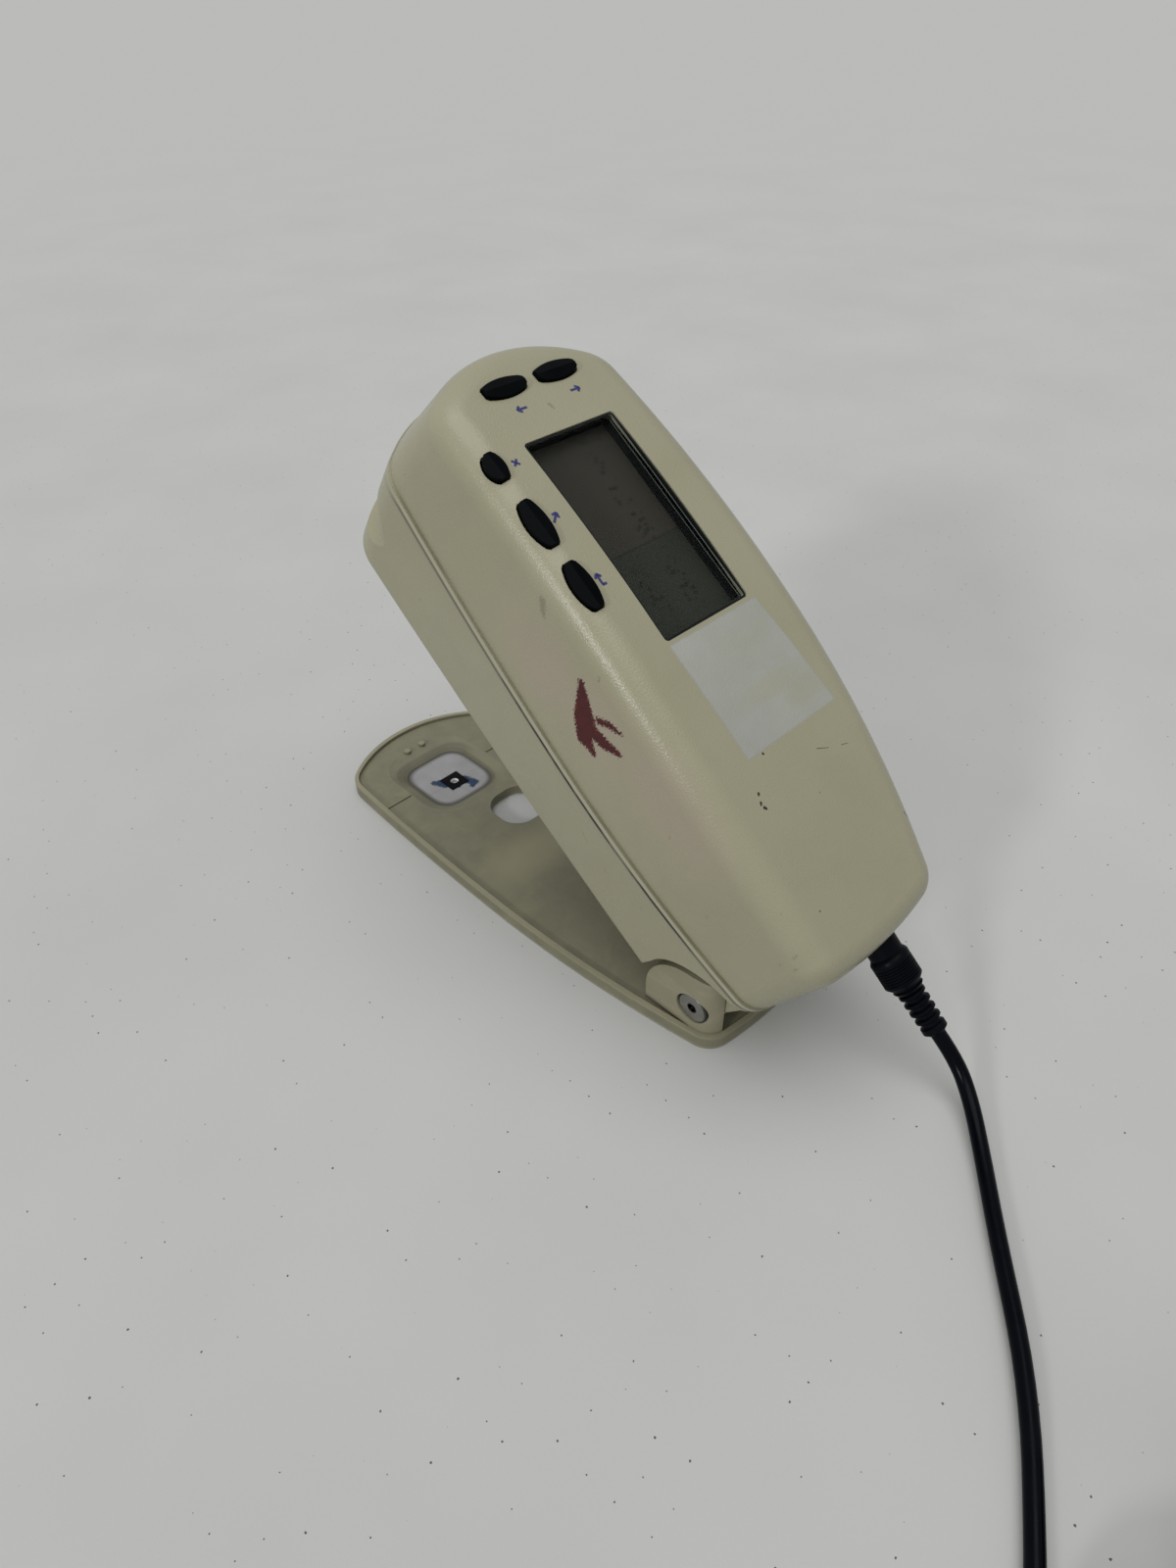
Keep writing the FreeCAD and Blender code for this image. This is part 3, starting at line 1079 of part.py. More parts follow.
def adapter_prongs():
    centre = adapter_centre()
    face = centre.x + ADAPTER_LENGTH / 2
    prongs = []
    for sign in (-1, 1):
        y = centre.y + sign * PRONG_SPACING / 2
        prongs.append(Part.makeBox(PRONG_LENGTH, PRONG_THICKNESS, PRONG_WIDTH,
                                   V(face, y - PRONG_THICKNESS / 2,
                                     ADAPTER_HEIGHT / 2 - PRONG_WIDTH / 2)))
    return Part.makeCompound(prongs)


# ================================================================ the assembly
def build():
    """Every node's shape, in place."""
    pin, bush = hinge_pin(), hinge_bush()
    fixed = {
        "shoe_plate": shoe_plate(),
        "target_window": target_window(),
        "aperture_mask": aperture_mask(),
        "hinge_pin_right": pin,
        "hinge_pin_left": mirrored(pin),
        "torsion_spring": torsion_spring(),
        "cord_run": cord_run(),
        "cord_coil": cord_coil(),
        "power_adapter": power_adapter(),
        "adapter_prongs": adapter_prongs(),
    }
    moving = {
        "lower_housing": lower_housing(),
        "top_cover": top_cover(),
        "display_window": display_window(),
        "display_frame": display_frame(),
        "lcd_panel": lcd_panel(),
        "keypad_mat": keypad_mat(),
        "control_board": control_board(),
        "main_board": main_board(),
        "display_ribbon": display_ribbon(),
        "optics_housing": optics_housing(),
        "lens_barrel": lens_barrel(),
        "lamp": lamp(),
        "sensor_board": sensor_board(),
        "aperture_snout": aperture_snout(),
        "battery_cells": battery_cells(),
        "battery_cradle": battery_cradle(),
        "measure_switch": measure_switch(),
        "power_socket": power_socket(),
        "hinge_bush_right": bush,
        "hinge_bush_left": mirrored(bush),
        "housing_screws": housing_screws(),
        "main_board_screws": main_board_screws(),
        "control_board_screws": control_board_screws(),
        "lead_plug": lead_plug(),
        "strain_relief": strain_relief(),
    }
    moving.update({name: key(name) for name in KEYS})
    shapes = dict(fixed)
    shapes.update({name: swung(shape) for name, shape in moving.items()})
    return shapes


def main():
    os.makedirs("parts", exist_ok=True)
    for name, shape in build().items():
        shape.exportStep("parts/%s.step" % name)


if __name__ == "__main__":
    main()
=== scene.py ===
"""Looks of the hand-held photographic densitometer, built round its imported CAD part.

The part's own frame: +X along the hinge, +Y towards the nose, +Z up, the table at Z 0. Pieces of the
instrument are placed as if it were shut, then swung open with it. What goes into a node is in metres,
and outlines, routes and tables are in millimetres where no comment says otherwise.
"""
import math
import bpy
from mathutils import Matrix, Vector


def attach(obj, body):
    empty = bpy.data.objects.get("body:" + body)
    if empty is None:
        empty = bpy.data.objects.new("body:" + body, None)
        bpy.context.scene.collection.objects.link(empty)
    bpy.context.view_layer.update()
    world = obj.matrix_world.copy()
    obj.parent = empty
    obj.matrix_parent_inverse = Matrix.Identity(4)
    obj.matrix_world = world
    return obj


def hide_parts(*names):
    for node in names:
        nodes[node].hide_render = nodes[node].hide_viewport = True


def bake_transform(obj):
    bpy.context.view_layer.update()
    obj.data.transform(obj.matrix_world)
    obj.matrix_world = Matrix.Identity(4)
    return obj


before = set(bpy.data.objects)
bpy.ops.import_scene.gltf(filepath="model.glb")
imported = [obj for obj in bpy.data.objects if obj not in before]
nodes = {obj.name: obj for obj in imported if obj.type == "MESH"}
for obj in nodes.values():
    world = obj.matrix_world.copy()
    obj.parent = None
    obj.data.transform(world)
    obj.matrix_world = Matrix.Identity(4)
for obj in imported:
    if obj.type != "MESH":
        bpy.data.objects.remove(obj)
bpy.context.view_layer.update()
bpy.ops.object.select_all(action="DESELECT")
scene = bpy.context.scene
scene.view_settings.view_transform = "Standard"

MM = 0.001
HINGE = Vector((0, 0, 13.0)) * MM
OPEN_ANGLE = math.radians(40.5)
SWING = Matrix.Translation(HINGE) @ Matrix.Rotation(OPEN_ANGLE, 4, "X") @ Matrix.Translation(-HINGE)
CROWN_RADIUS, CROWN_Y, CROWN_TOP = 472.0, 80.0, 79.9


def mm(x, y, z):
    return Vector((x, y, z)) * MM


def crown_height(y):
    """Height of the cover's top above the shut shoe's underside, in millimetres."""
    return CROWN_TOP - CROWN_RADIUS + math.sqrt(CROWN_RADIUS ** 2 - (y - CROWN_Y) ** 2)


def on_crown(x, y, lift=0.0):
    """Place on the cover's top: +Y towards the nose, +Z outwards, with the instrument open."""
    slope = math.asin(-(y - CROWN_Y) / CROWN_RADIUS)
    place = Matrix.Translation(mm(x, y, crown_height(y) + lift)) @ Matrix.Rotation(slope, 4, "X")
    return SWING @ place


# ---- camera
AZIMUTH, ELEVATION, ROLL = math.radians(-43.925), math.radians(40.351), math.radians(-1.072)
LOOKED_AT, DISTANCE = mm(4.347, 73.469, 36.159), 337.733 * MM
FOCAL_PIXELS, FRAME_HEIGHT, SENSOR = 1040.76, 1600, 36.0


def make_camera():
    """Camera turned round the place it looks at, then rolled a little about its own axis."""
    data = bpy.data.cameras.new("camera")
    data.sensor_width = SENSOR
    data.lens = FOCAL_PIXELS / FRAME_HEIGHT * SENSOR
    camera = bpy.data.objects.new("camera", data)
    turn = Matrix.Rotation(AZIMUTH, 4, "Z") @ Matrix.Rotation(math.pi / 2 - ELEVATION, 4, "X")
    camera.matrix_world = (Matrix.Translation(LOOKED_AT) @ turn @ Matrix.Translation((0, 0, DISTANCE))
                           @ Matrix.Rotation(ROLL, 4, "Z"))
    scene.collection.objects.link(camera)
    scene.camera = camera


make_camera()


# ---- modelling helpers
def select_only(*objects):
    """Select these and make the first one active."""
    bpy.ops.object.select_all(action="DESELECT")
    for item in objects:
        item.select_set(True)
    bpy.context.view_layer.objects.active = objects[0]


def edit(item):
    """Open a piece in edit mode with all of it selected."""
    select_only(item)
    bpy.ops.object.mode_set(mode="EDIT")
    bpy.ops.mesh.select_all(action="SELECT")


def apply_place(item):
    select_only(item)
    bpy.ops.object.transform_apply(location=True, rotation=True, scale=True)


def placed(item, matrix):
    """Carry a piece to its place and bake the place into its mesh."""
    item.matrix_world = matrix @ item.matrix_world
    apply_place(item)
    return item


def closed_up(item, angle=35):
    """Merge doubles, turn all faces outwards and smooth all but the sharp edges."""
    bpy.ops.object.mode_set(mode="OBJECT")
    edit(item)
    bpy.ops.mesh.remove_doubles(threshold=1e-6)
    bpy.ops.mesh.normals_make_consistent(inside=False)
    bpy.ops.object.mode_set(mode="OBJECT")
    bpy.ops.object.shade_smooth_by_angle(angle=math.radians(angle))
    return item


def drawn_out(name, stations, sides=48):
    """Round piece along -Y: a disc extruded and resized from station to station (distance, radius in mm)."""
    first, radius = stations[0]
    bpy.ops.mesh.primitive_circle_add(vertices=sides, radius=radius * MM, fill_type="NGON",
                                      location=(0, -first * MM, 0), rotation=(math.pi / 2, 0, 0))
    item = bpy.context.object
    item.name = name
    apply_place(item)
    edit(item)
    here, before = first, radius
    for distance, wide in stations[1:]:
        bpy.ops.mesh.extrude_region_move(TRANSFORM_OT_translate={"value": (0, -(distance - here) * MM, 0)})
        ratio = wide / before
        bpy.ops.transform.resize(value=(ratio, 1, ratio), center_override=(0, -distance * MM, 0))
        here, before = distance, wide
    return closed_up(item)


def joined(name, items):
    select_only(*items)
    bpy.ops.object.join()
    items[0].name = name
    return items[0]


def modified(item, kind, **settings):
    """Add a modifier with these settings and apply it."""
    select_only(item)
    modifier = item.modifiers.new(kind.lower(), kind)
    for key, value in settings.items():
        setattr(modifier, key, value)
    bpy.ops.object.modifier_apply(modifier=modifier.name)
    return item


# ---- lead
CORD_DIAMETER, CORD_Z = 4.5, 2.5
RELIEF_END = (13.3, -55.54, 16.85)
ROUTE = [
    RELIEF_END, (13.3, -63.0, 11.1), (8.6, -71.5, 5.4), (-1.5, -81.0, 2.8), (-19.3, -95.2, CORD_Z),
    (-45.5, -117.2, CORD_Z), (-74.6, -133.6, CORD_Z), (-103.2, -147.5, CORD_Z)]
COIL_DIAMETER, COIL_START = 54.0, math.radians(115.9)
POINTS_A_TURN, TURNS_A_LAYER, LAYERS = 16, 3, 3
CLIMB_TURNS = 0.4
OUTER_TURN = COIL_DIAMETER / 2 + CORD_DIAMETER
INNER_TURN = OUTER_TURN - CORD_DIAMETER * TURNS_A_LAYER
COIL_X = ROUTE[-1][0] - OUTER_TURN * math.cos(COIL_START)
COIL_Y = ROUTE[-1][1] - OUTER_TURN * math.sin(COIL_START)
LEAVING_POINTS, LEAVING_CLIMB = 8, 0.75
ADAPTER_CORD_Z = 18.0


def coil_points():
    """Control points of the coil: in along the first layer, out along the second, in along the third, and then
    over its turns to the adapter."""
    grow = 1 / math.cos(math.pi / POINTS_A_TURN)

    def wound(turn, radius, height):
        angle = COIL_START + 2 * math.pi * turn
        return (COIL_X + radius * grow * math.cos(angle), COIL_Y + radius * grow * math.sin(angle), height)

    points = []
    for layer in range(LAYERS):
        for step in range(POINTS_A_TURN * TURNS_A_LAYER):
            turn = step / POINTS_A_TURN
            radius = OUTER_TURN - CORD_DIAMETER * turn if layer % 2 == 0 else INNER_TURN + CORD_DIAMETER * turn
            climb = max(0.0, turn - TURNS_A_LAYER + CLIMB_TURNS) / CLIMB_TURNS if layer < LAYERS - 1 else 0.0
            points.append(wound(layer * TURNS_A_LAYER + turn, radius, CORD_Z + CORD_DIAMETER * (layer + climb)))
    top = CORD_Z + CORD_DIAMETER * (LAYERS - 1)
    for step in range(LEAVING_POINTS):
        points.append(wound(LAYERS * TURNS_A_LAYER + step / POINTS_A_TURN, INNER_TURN, top + LEAVING_CLIMB * step))
    tail = [(12.5, -13.9, top + 6.3), (20.0, -10.9, ADAPTER_CORD_Z), (27.0, -8.2, ADAPTER_CORD_Z),
            (34.2, -5.4, ADAPTER_CORD_Z)]
    return points[1:] + [(COIL_X + x, COIL_Y + y, z) for x, y, z in tail]


def make_cord():
    """The cord: its run from the strain relief, the coil and its end at the adapter."""
    control = ROUTE + coil_points()
    data = bpy.data.curves.new("cord", "CURVE")
    data.dimensions = "3D"
    spline = data.splines.new("NURBS")
    spline.points.add(len(control) - 1)
    for point, place in zip(spline.points, control):
        point.co = (*mm(*place), 1.0)
    spline.order_u = 3
    spline.use_endpoint_u = True
    data.resolution_u = 6
    item = bpy.data.objects.new("cord", data)
    scene.collection.objects.link(item)
    bpy.context.view_layer.update()
    line = bpy.data.meshes.new_from_object(item.evaluated_get(bpy.context.evaluated_depsgraph_get()))
    path = [list(vertex.co) for vertex in line.vertices]
    data.bevel_depth = CORD_DIAMETER / 2 * MM
    data.bevel_resolution = 5
    data.use_fill_caps = True
    select_only(item)
    bpy.ops.object.convert(target="MESH")
    cord = bpy.context.object
    cord.name = "cord"
    bpy.ops.object.shade_smooth_by_angle(angle=math.radians(50))
    return cord, path


cord, cord_path = make_cord()


# ---- material building
class Nodes:
    """Adds nodes to one material's or group's tree and links them."""

    def __init__(self, tree):
        self.tree = tree

    def add(self, kind, inputs=None, **settings):
        """Add a shader node, with what goes into its sockets and its settings. Gives its outputs."""
        item = self.tree.nodes.new("ShaderNode" + kind)
        for key, value in settings.items():
            setattr(item, key, value)
        for key, value in (inputs or {}).items():
            self.feed(item.inputs[key], value)
        return item.outputs

    def feed(self, socket, value):
        if isinstance(value, bpy.types.NodeSocket):
            self.tree.links.new(value, socket)
        else:
            socket.default_value = value

    def maths(self, operation, *values, clamp=False):
        return self.add("Math", dict(enumerate(values)), operation=operation, use_clamp=clamp)[0]

    def chain(self, operation, values):
        """All the values, one after another, joined by this operation."""
        result = values[0]
        for value in values[1:]:
            result = self.maths(operation, result, value)
        return result

    def times(self, *values):
        return self.chain("MULTIPLY", values)

    def most(self, *values):
        return self.chain("MAXIMUM", values)

    def least(self, *values):
        return self.chain("MINIMUM", values)

    def plus(self, first, second, clamp=False):
        return self.maths("ADD", first, second, clamp=clamp)

    def minus(self, first, second, clamp=False):
        return self.maths("SUBTRACT", first, second, clamp=clamp)

    def off(self, value, middle):
        """Distance of a value from this middle."""
        return self.maths("ABSOLUTE", self.minus(value, middle))

    def vector(self, operation, *values):
        outputs = self.add("VectorMath", dict(enumerate(values)), operation=operation)
        return outputs["Value" if operation in ("LENGTH", "DOT_PRODUCT") else "Vector"]

    def away(self, place, centre, keep):
        """Distance of a place from a centre, over the axes that are kept."""
        return self.vector("LENGTH", self.vector("MULTIPLY", self.vector("SUBTRACT", place, centre), keep))

    def rise(self, value, low, high):
        """0 below low and 1 above high, smoothly; the other way round where low is above high."""
        limits = {"From Min": low, "From Max": high}
        return self.add("MapRange", {"Value": value, **limits}, interpolation_type="SMOOTHSTEP")["Result"]

    def mix(self, share, first, second):
        """First colour where the share is 0, second where it is 1; each a socket or red, green and blue."""
        first, second = (c if isinstance(c, bpy.types.NodeSocket) else rgb(*c) for c in (first, second))
        return self.add("Mix", {0: share, 6: first, 7: second}, data_type="RGBA")[2]

    def paint(self, body, mask, share, colour):
        """The body with this share of a colour over it where the mask is 1."""
        return self.mix(self.times(mask, share), body, colour)

    def noise(self, place, size, detail=2.0, roughness=0.5, distortion=0.0):
        shape = {"Detail": detail, "Roughness": roughness, "Distortion": distortion}
        return self.add("TexNoise", {"Vector": place, "Scale": 1 / size, **shape})["Fac"]

    def apart(self, place):
        return self.add("SeparateXYZ", {0: place})

    def group(self, tree, **inputs):
        return self.add("Group", {label(key): value for key, value in inputs.items()}, node_tree=tree)[0]


def label(key):
    """Socket's label for a keyword."""
    return key.replace("_", " ").title()


def new_group(name, **inputs):
    """Node group that turns a place, and these inputs with their defaults, into one value."""
    tree = bpy.data.node_groups.new(name, "ShaderNodeTree")
    for key, default in {"place": (0, 0, 0), **inputs}.items():
        kind = "NodeSocketFloat" if isinstance(default, float) else "NodeSocketVector"
        tree.interface.new_socket(name=label(key), in_out="INPUT", socket_type=kind).default_value = default
    tree.interface.new_socket(name="Value", in_out="OUTPUT", socket_type="NodeSocketFloat")
    made = Nodes(tree)
    made.given = tree.nodes.new("NodeGroupInput").outputs
    made.result = tree.nodes.new("NodeGroupOutput").inputs[0]
    return made


def finished(made, result):
    """The group, once it gives this result."""
    made.feed(made.result, result)
    return made.tree


def scaled(made, size):
    """A group's place divided by a size."""
    return made.vector("DIVIDE", made.given["Place"], made.add("CombineXYZ", {0: size, 1: size, 2: size})[0])


def make_grain_group():
    """Fine spark-eroded surface of a moulded part: a height for bump."""
    made = new_group("moulded grain", size=0.0005)
    place = scaled(made, made.given["Size"])
    fine = made.noise(place, 1.0, detail=1.5, roughness=0.6)
    pits = made.add("TexVoronoi", {"Vector": place, "Scale": 0.8}, feature="SMOOTH_F1")["Distance"]
    return finished(made, made.plus(made.times(fine, 0.7), made.times(pits, 0.3)))


def make_tone_group():
    """Slow, cloudy change of tone over a surface, from 0 to 1."""
    made = new_group("cloudy tone", size=0.03, contrast=1.0)
    cloud = made.noise(scaled(made, made.given["Size"]), 1.0, detail=3.0, roughness=0.55)
    spread = made.times(made.minus(cloud, 0.5), made.given["Contrast"])
    return finished(made, made.plus(made.times(spread, 2.2), 0.5, clamp=True))


def make_stain_group():
    """Patches of old dirt with soft, broken edges."""
    made = new_group("old stains", size=0.01, cover=0.5, softness=0.1)
    cloud = made.noise(scaled(made, made.given["Size"]), 1.0, detail=5.0, roughness=0.62, distortion=0.6)
    edge = made.minus(1.0, made.given["Cover"])
    soft = made.given["Softness"]
    return finished(made, made.rise(cloud, made.minus(edge, soft), made.plus(edge, soft)))


def make_speck_group(name, dimensions):
    """Small specks, one in some of the cells of a grid of this spacing."""
    made = new_group(name, spacing=0.01, share=0.3, radius=0.0002)
    place = scaled(made, made.given["Spacing"])
    cells = made.add("TexVoronoi", {"Vector": place, "Scale": 1.0}, feature="F1", voronoi_dimensions=dimensions)
    chance = made.apart(cells["Color"])
    wide = made.maths("DIVIDE", made.times(made.given["Radius"], chance[1]), made.given["Spacing"])
    ragged = made.plus(cells["Distance"], made.times(made.minus(made.noise(place, 0.04), 0.5), 0.05))
    near = made.maths("LESS_THAN", ragged, wide)
    return finished(made, made.times(near, made.maths("LESS_THAN", chance[0], made.given["Share"])))


def make_stroke_group():
    """A tapered stroke of paint or a scratch from start to end, with ragged edges."""
    made = new_group("stroke", start=(0, 0, 0), end=(0, 0, 0), start_radius=0.001, end_radius=0.001,
                     ragged=0.0, rag_size=0.001, softness=0.0001)
    given = made.given
    reach = made.vector("SUBTRACT", given["Place"], given["Start"])
    whole = made.vector("SUBTRACT", given["End"], given["Start"])
    passed, all_of_it = (made.vector("DOT_PRODUCT", part, whole) for part in (reach, whole))
    share = made.maths("DIVIDE", passed, all_of_it, clamp=True)
    along = made.add("VectorMath", {0: whole, "Scale": share}, operation="SCALE")["Vector"]
    off = made.vector("LENGTH", made.vector("SUBTRACT", reach, along))
    first = made.times(given["Start Radius"], made.minus(1.0, share))
    radius = made.plus(made.times(given["End Radius"], share), first)
    rag = made.noise(scaled(made, given["Rag Size"]), 1.0, detail=3.0, roughness=0.7)
    edge = made.plus(made.minus(off, radius), made.times(made.minus(rag, 0.5), given["Ragged"]))
    return finished(made, made.rise(edge, given["Softness"], made.times(given["Softness"], -1.0)))


def make_spot_group():
    """A soft spot, an ellipsoid of these three radii round a centre."""
    made = new_group("soft spot", centre=(0, 0, 0), radii=(0.01, 0.01, 0.01), softness=0.5)
    given = made.given
    reach = made.vector("DIVIDE", made.vector("SUBTRACT", given["Place"], given["Centre"]), given["Radii"])
    outer, inner = made.plus(1.0, given["Softness"]), made.minus(1.0, given["Softness"])
    return finished(made, made.rise(made.vector("LENGTH", reach), outer, inner))


GRAIN = make_grain_group()
TONE = make_tone_group()
STAIN = make_stain_group()
SPECK = make_speck_group("specks", "3D")
LINT = make_speck_group("flat specks", "2D")
STROKE = make_stroke_group()
SPOT = make_spot_group()
BEVEL_SAMPLES, RECESS_SAMPLES = 4, 6


class Finish(Nodes):
    """One material, with its shader and its place on the piece. Masks take a place of their own if given one."""

    def __init__(self, name, roughness=0.5, metallic=0.0, specular=0.5):
        self.material = bpy.data.materials.new(name)
        self.material.use_nodes = True
        super().__init__(self.material.node_tree)
        self.shader = self.tree.nodes["Principled BSDF"]
        self.put("Roughness", roughness)
        self.put("Metallic", metallic)
        self.put("Specular IOR Level", specular)
        self.place = self.add("TexCoord")["Object"]

    def put(self, socket, value):
        self.feed(self.shader.inputs[socket], value)

    def coloured(self, colour):
        """The material, once it has its colour."""
        self.put("Base Color", colour)
        return self.material

    def tone(self, size, contrast=1.0, place=None):
        return self.group(TONE, place=place or self.place, size=size, contrast=contrast)

    def stain(self, size, cover, softness, place=None):
        return self.group(STAIN, place=place or self.place, size=size, cover=cover, softness=softness)

    def specks(self, spacing, share, radius, place=None, kind=SPECK):
        return self.group(kind, place=place or self.place, spacing=spacing, share=share, radius=radius)

    def grain(self, size, place=None):
        return self.group(GRAIN, place=place or self.place, size=size)

    def spot(self, centre, radii, softness, place):
        """Soft spot with its centre and radii in millimetres."""
        return self.group(SPOT, place=place, centre=mm(*centre), radii=mm(*radii), softness=softness)

    def strokes(self, axis, rows, ragged, rag_size, softness, place=None):
        """Strokes on a face that looks along this axis, X or Z: rows of start, end and both radii, in mm."""
        keep = (0.0, 1.0, 1.0) if axis == "X" else (1.0, 1.0, 0.0)
        flat = self.vector("MULTIPLY", place or self.place, keep)
        masks = []
        for *ends, one, two in rows:
            start, end = (mm(0, *point) if axis == "X" else mm(*point, 0) for point in ends)
            masks.append(self.group(STROKE, place=flat, start=start, end=end, start_radius=one * MM,
                                    end_radius=two * MM, ragged=ragged, rag_size=rag_size, softness=softness))
        return self.most(*masks)

    def roughen(self, base, mask, change):
        """Roughness of this base, changed by so much where the mask is 1."""
        self.put("Roughness", self.plus(base, self.times(mask, change)))

    def shut_place(self):
        """Place on the instrument as if it were shut."""
        location, turn, _ = SWING.inverted().decompose()
        return self.add("Mapping", {"Vector": self.place, "Location": location, "Rotation": turn.to_euler()})[0]

    def bump(self, height, depth, rounding=0.0):
        """Bump of this depth in metres, over edges rounded by this radius."""
        inputs = {"Height": height, "Distance": depth, "Strength": 1.0}
        if rounding:
            inputs["Normal"] = self.add("Bevel", {"Radius": rounding}, samples=BEVEL_SAMPLES)[0]
        self.put("Normal", self.add("Bump", inputs)[0])

    def recess_shade(self, reach):
        """1 in corners and slots narrower than about this reach, 0 in the open: the mask for painted shade."""
        light = self.add("AmbientOcclusion", {"Distance": reach}, samples=RECESS_SAMPLES, only_local=True)["AO"]
        return self.rise(light, 0.75, 0.25)


def rgb(red, green, blue):
    return (red, green, blue, 1.0)


def darker(colour, share):
    return [part * share for part in colour]


def moulded(name, colour, roughness, depth=0.00003, rounding=0.00025, specular=0.5):
    """Plain moulded plastic: grain, a cloudy tone, handled patches and painted shade in its corners."""
    made = Finish(name, roughness, specular=specular)
    body = made.mix(made.tone(0.035), darker(colour, 0.88), colour)
    made.roughen(roughness + 0.03, made.stain(0.012, 0.45, 0.2), -0.08)
    made.bump(made.grain(0.0005), depth, rounding=rounding)
    # Painted shade: darker in corners and slots.
    return made.coloured(made.paint(body, made.recess_shade(0.0015), 0.5, darker(colour, 0.35)))


# ---- shells
# The third colour is a painted highlight, laid along the bead's crest and the lip's edge.
BEIGE, DEEP_BEIGE, PAINTED_HIGHLIGHT = (0.299, 0.288, 0.195), (0.277, 0.265, 0.174), (0.4, 0.385, 0.27)
# Heights on the shut instrument, in metres: foot, crest and top of the cover's bead, edge and foot of the lip.
BEAD_FOOT, BEAD_CREST, BEAD_TOP, LIP_EDGE, LIP_FOOT = 0.0404, 0.0409, 0.042, 0.03835, 0.03785
# Edges of the label's trace in metres, and how far its sides lean in for each metre along Y.
LABEL_REAR, LABEL_FRONT, LABEL_LEFT, LABEL_RIGHT = 0.0547, 0.0885, -0.01385, 0.0222
LEFT_LEAN, RIGHT_LEAN, RIGHT_REAR = -0.053, -0.144, 0.0553
# Middle of the opal window and its aperture in millimetres; half the window and the radius in metres.
WINDOW_MIDDLE, WINDOW_HALF = (-2.0, 144.1, 0.0), (0.013, 0.0138)
APERTURE, APERTURE_RADIUS = (-2.0, 141.2, 0.0), 0.0019
# Strokes are start, end and the radius at each, in millimetres on the face they are drawn on.
RED_STROKES = [
    ((92.6, 66.4), (85.2, 59.8), 1.0, 3.6), ((85.2, 59.8), (81.6, 55.8), 3.6, 2.8),
    ((81.6, 55.8), (76.8, 55.2), 2.6, 0.9), ((82.6, 59.4), (77.8, 60.9), 2.2, 2.0),
    ((77.8, 60.9), (73.2, 63.5), 2.0, 0.9), ((82.6, 64.2), (80.4, 66.4), 1.1, 0.9),
    ((80.4, 66.6), (76.9, 68.5), 1.0, 0.5)]
PINK_SPOTS = [
    ((-34, 103, 57), (8, 13, 10), 0.65), ((-33, 82, 62), (8, 12, 10), 0.55), ((-32, 56, 67), (8, 20, 9), 0.6)]
# Marks and scuffs that taper: start, end and width.
COVER_MARKS = [
    ((-16.2, 46.9), (-16.4, 46.6), 0.4), ((-17.0, 44.8), (-17.3, 44.3), 0.36), ((-16.8, 43.3), (-16.4, 42.8), 0.44),
    ((-8.6, 54.2), (-8.5, 54.0), 0.36), ((-0.6, 157.4), (0.2, 155.4), 0.09), ((-0.2, 157.7), (0.5, 156.2), 0.06),
    ((7.7, 47.2), (11.4, 45.6), 0.1), ((15.9, 44.2), (18.2, 43.5), 0.08), ((-17.3, 14.6), (-17.1, 14.4), 0.18),
    ((24.9, 19.4), (26.6, 16.2), 0.24)]
SIDE_SCUFFS = [
    ((113.9, 70.6), (111.2, 68.2), 1.0), ((112.8, 69.2), (110.8, 67.8), 0.8), ((90.7, 73.0), (90.3, 72.3), 0.3),
    ((49.2, 61.3), (49.0, 61.1), 0.16), ((26.6, 53.8), (26.2, 53.6), 0.2), ((8.9, 70.7), (8.5, 70.1), 0.22),
    ((5.7, 68.3), (5.5, 67.9), 0.24), ((8.2, 65.2), (8.0, 64.8), 0.16)]
HOUSING_SCUFFS = [
    ((61.0, 27.9), (57.5, 26.6)), ((48.8, 25.4), (47.6, 25.0)), ((35.0, 30.0), (34.2, 29.6)),
    ((140.0, 22.0), (139.2, 21.6))]
TARGET_INK = [
    ((-8.4, 145.8), (-5.6, 142.6), 1.2, 2.6), ((1.2, 139.2), (2.8, 135.8), 2.3, 1.7),
    ((3.2, 135.2), (1.2, 134.2), 1.6, 1.1), ((-5.0, 139.6), (-3.0, 137.4), 1.0, 0.8)]


def tapered(rows, taper):
    return [(start, end, wide, wide * taper) for start, end, wide in rows]


def shell_body(made, place):
    """Beige of the shells with its slow changes and hairline marks, and painted shade in their corners and slots."""
    body = made.mix(made.tone(0.045, 0.9, place), DEEP_BEIGE, BEIGE)
    body = made.paint(body, made.stain(0.02, 0.42, 0.16, place), 0.3, (0.25, 0.24, 0.162))
    body = made.paint(body, made.specks(0.0055, 0.35, 0.00026, place), 0.55, (0.06, 0.045, 0.025))
    body = made.paint(body, made.specks(0.0026, 0.5, 0.00019, place), 0.3, (0.12, 0.1, 0.06))
    hair = made.add("Mapping", {"Vector": place, "Rotation": (0.3, 0.2, 0.9), "Scale": (1.0, 0.09, 1.0)})[0]
    body = made.paint(body, made.specks(0.004, 0.2, 0.00012, hair), 0.3, (0.15, 0.13, 0.085))
    # Painted shade in corners and slots.
    return made.paint(body, made.recess_shade(0.0012), 0.4, (0.035, 0.03, 0.018))


def shell_surface(made, place, dull):
    """Grain, gloss and rounded edges of the shells; dull is where something lies on the surface."""
    base = made.plus(0.31, made.times(made.stain(0.015, 0.5, 0.2, place), -0.05))
    made.roughen(base, dull, 0.12)
    made.bump(made.grain(0.00042, place), 0.00011, rounding=0.0003)


def line_across(made, value, middle, half, fade):
    """1 within half of the middle, falling to 0 over the fade."""
    return made.rise(made.off(value, middle), half + fade, half)


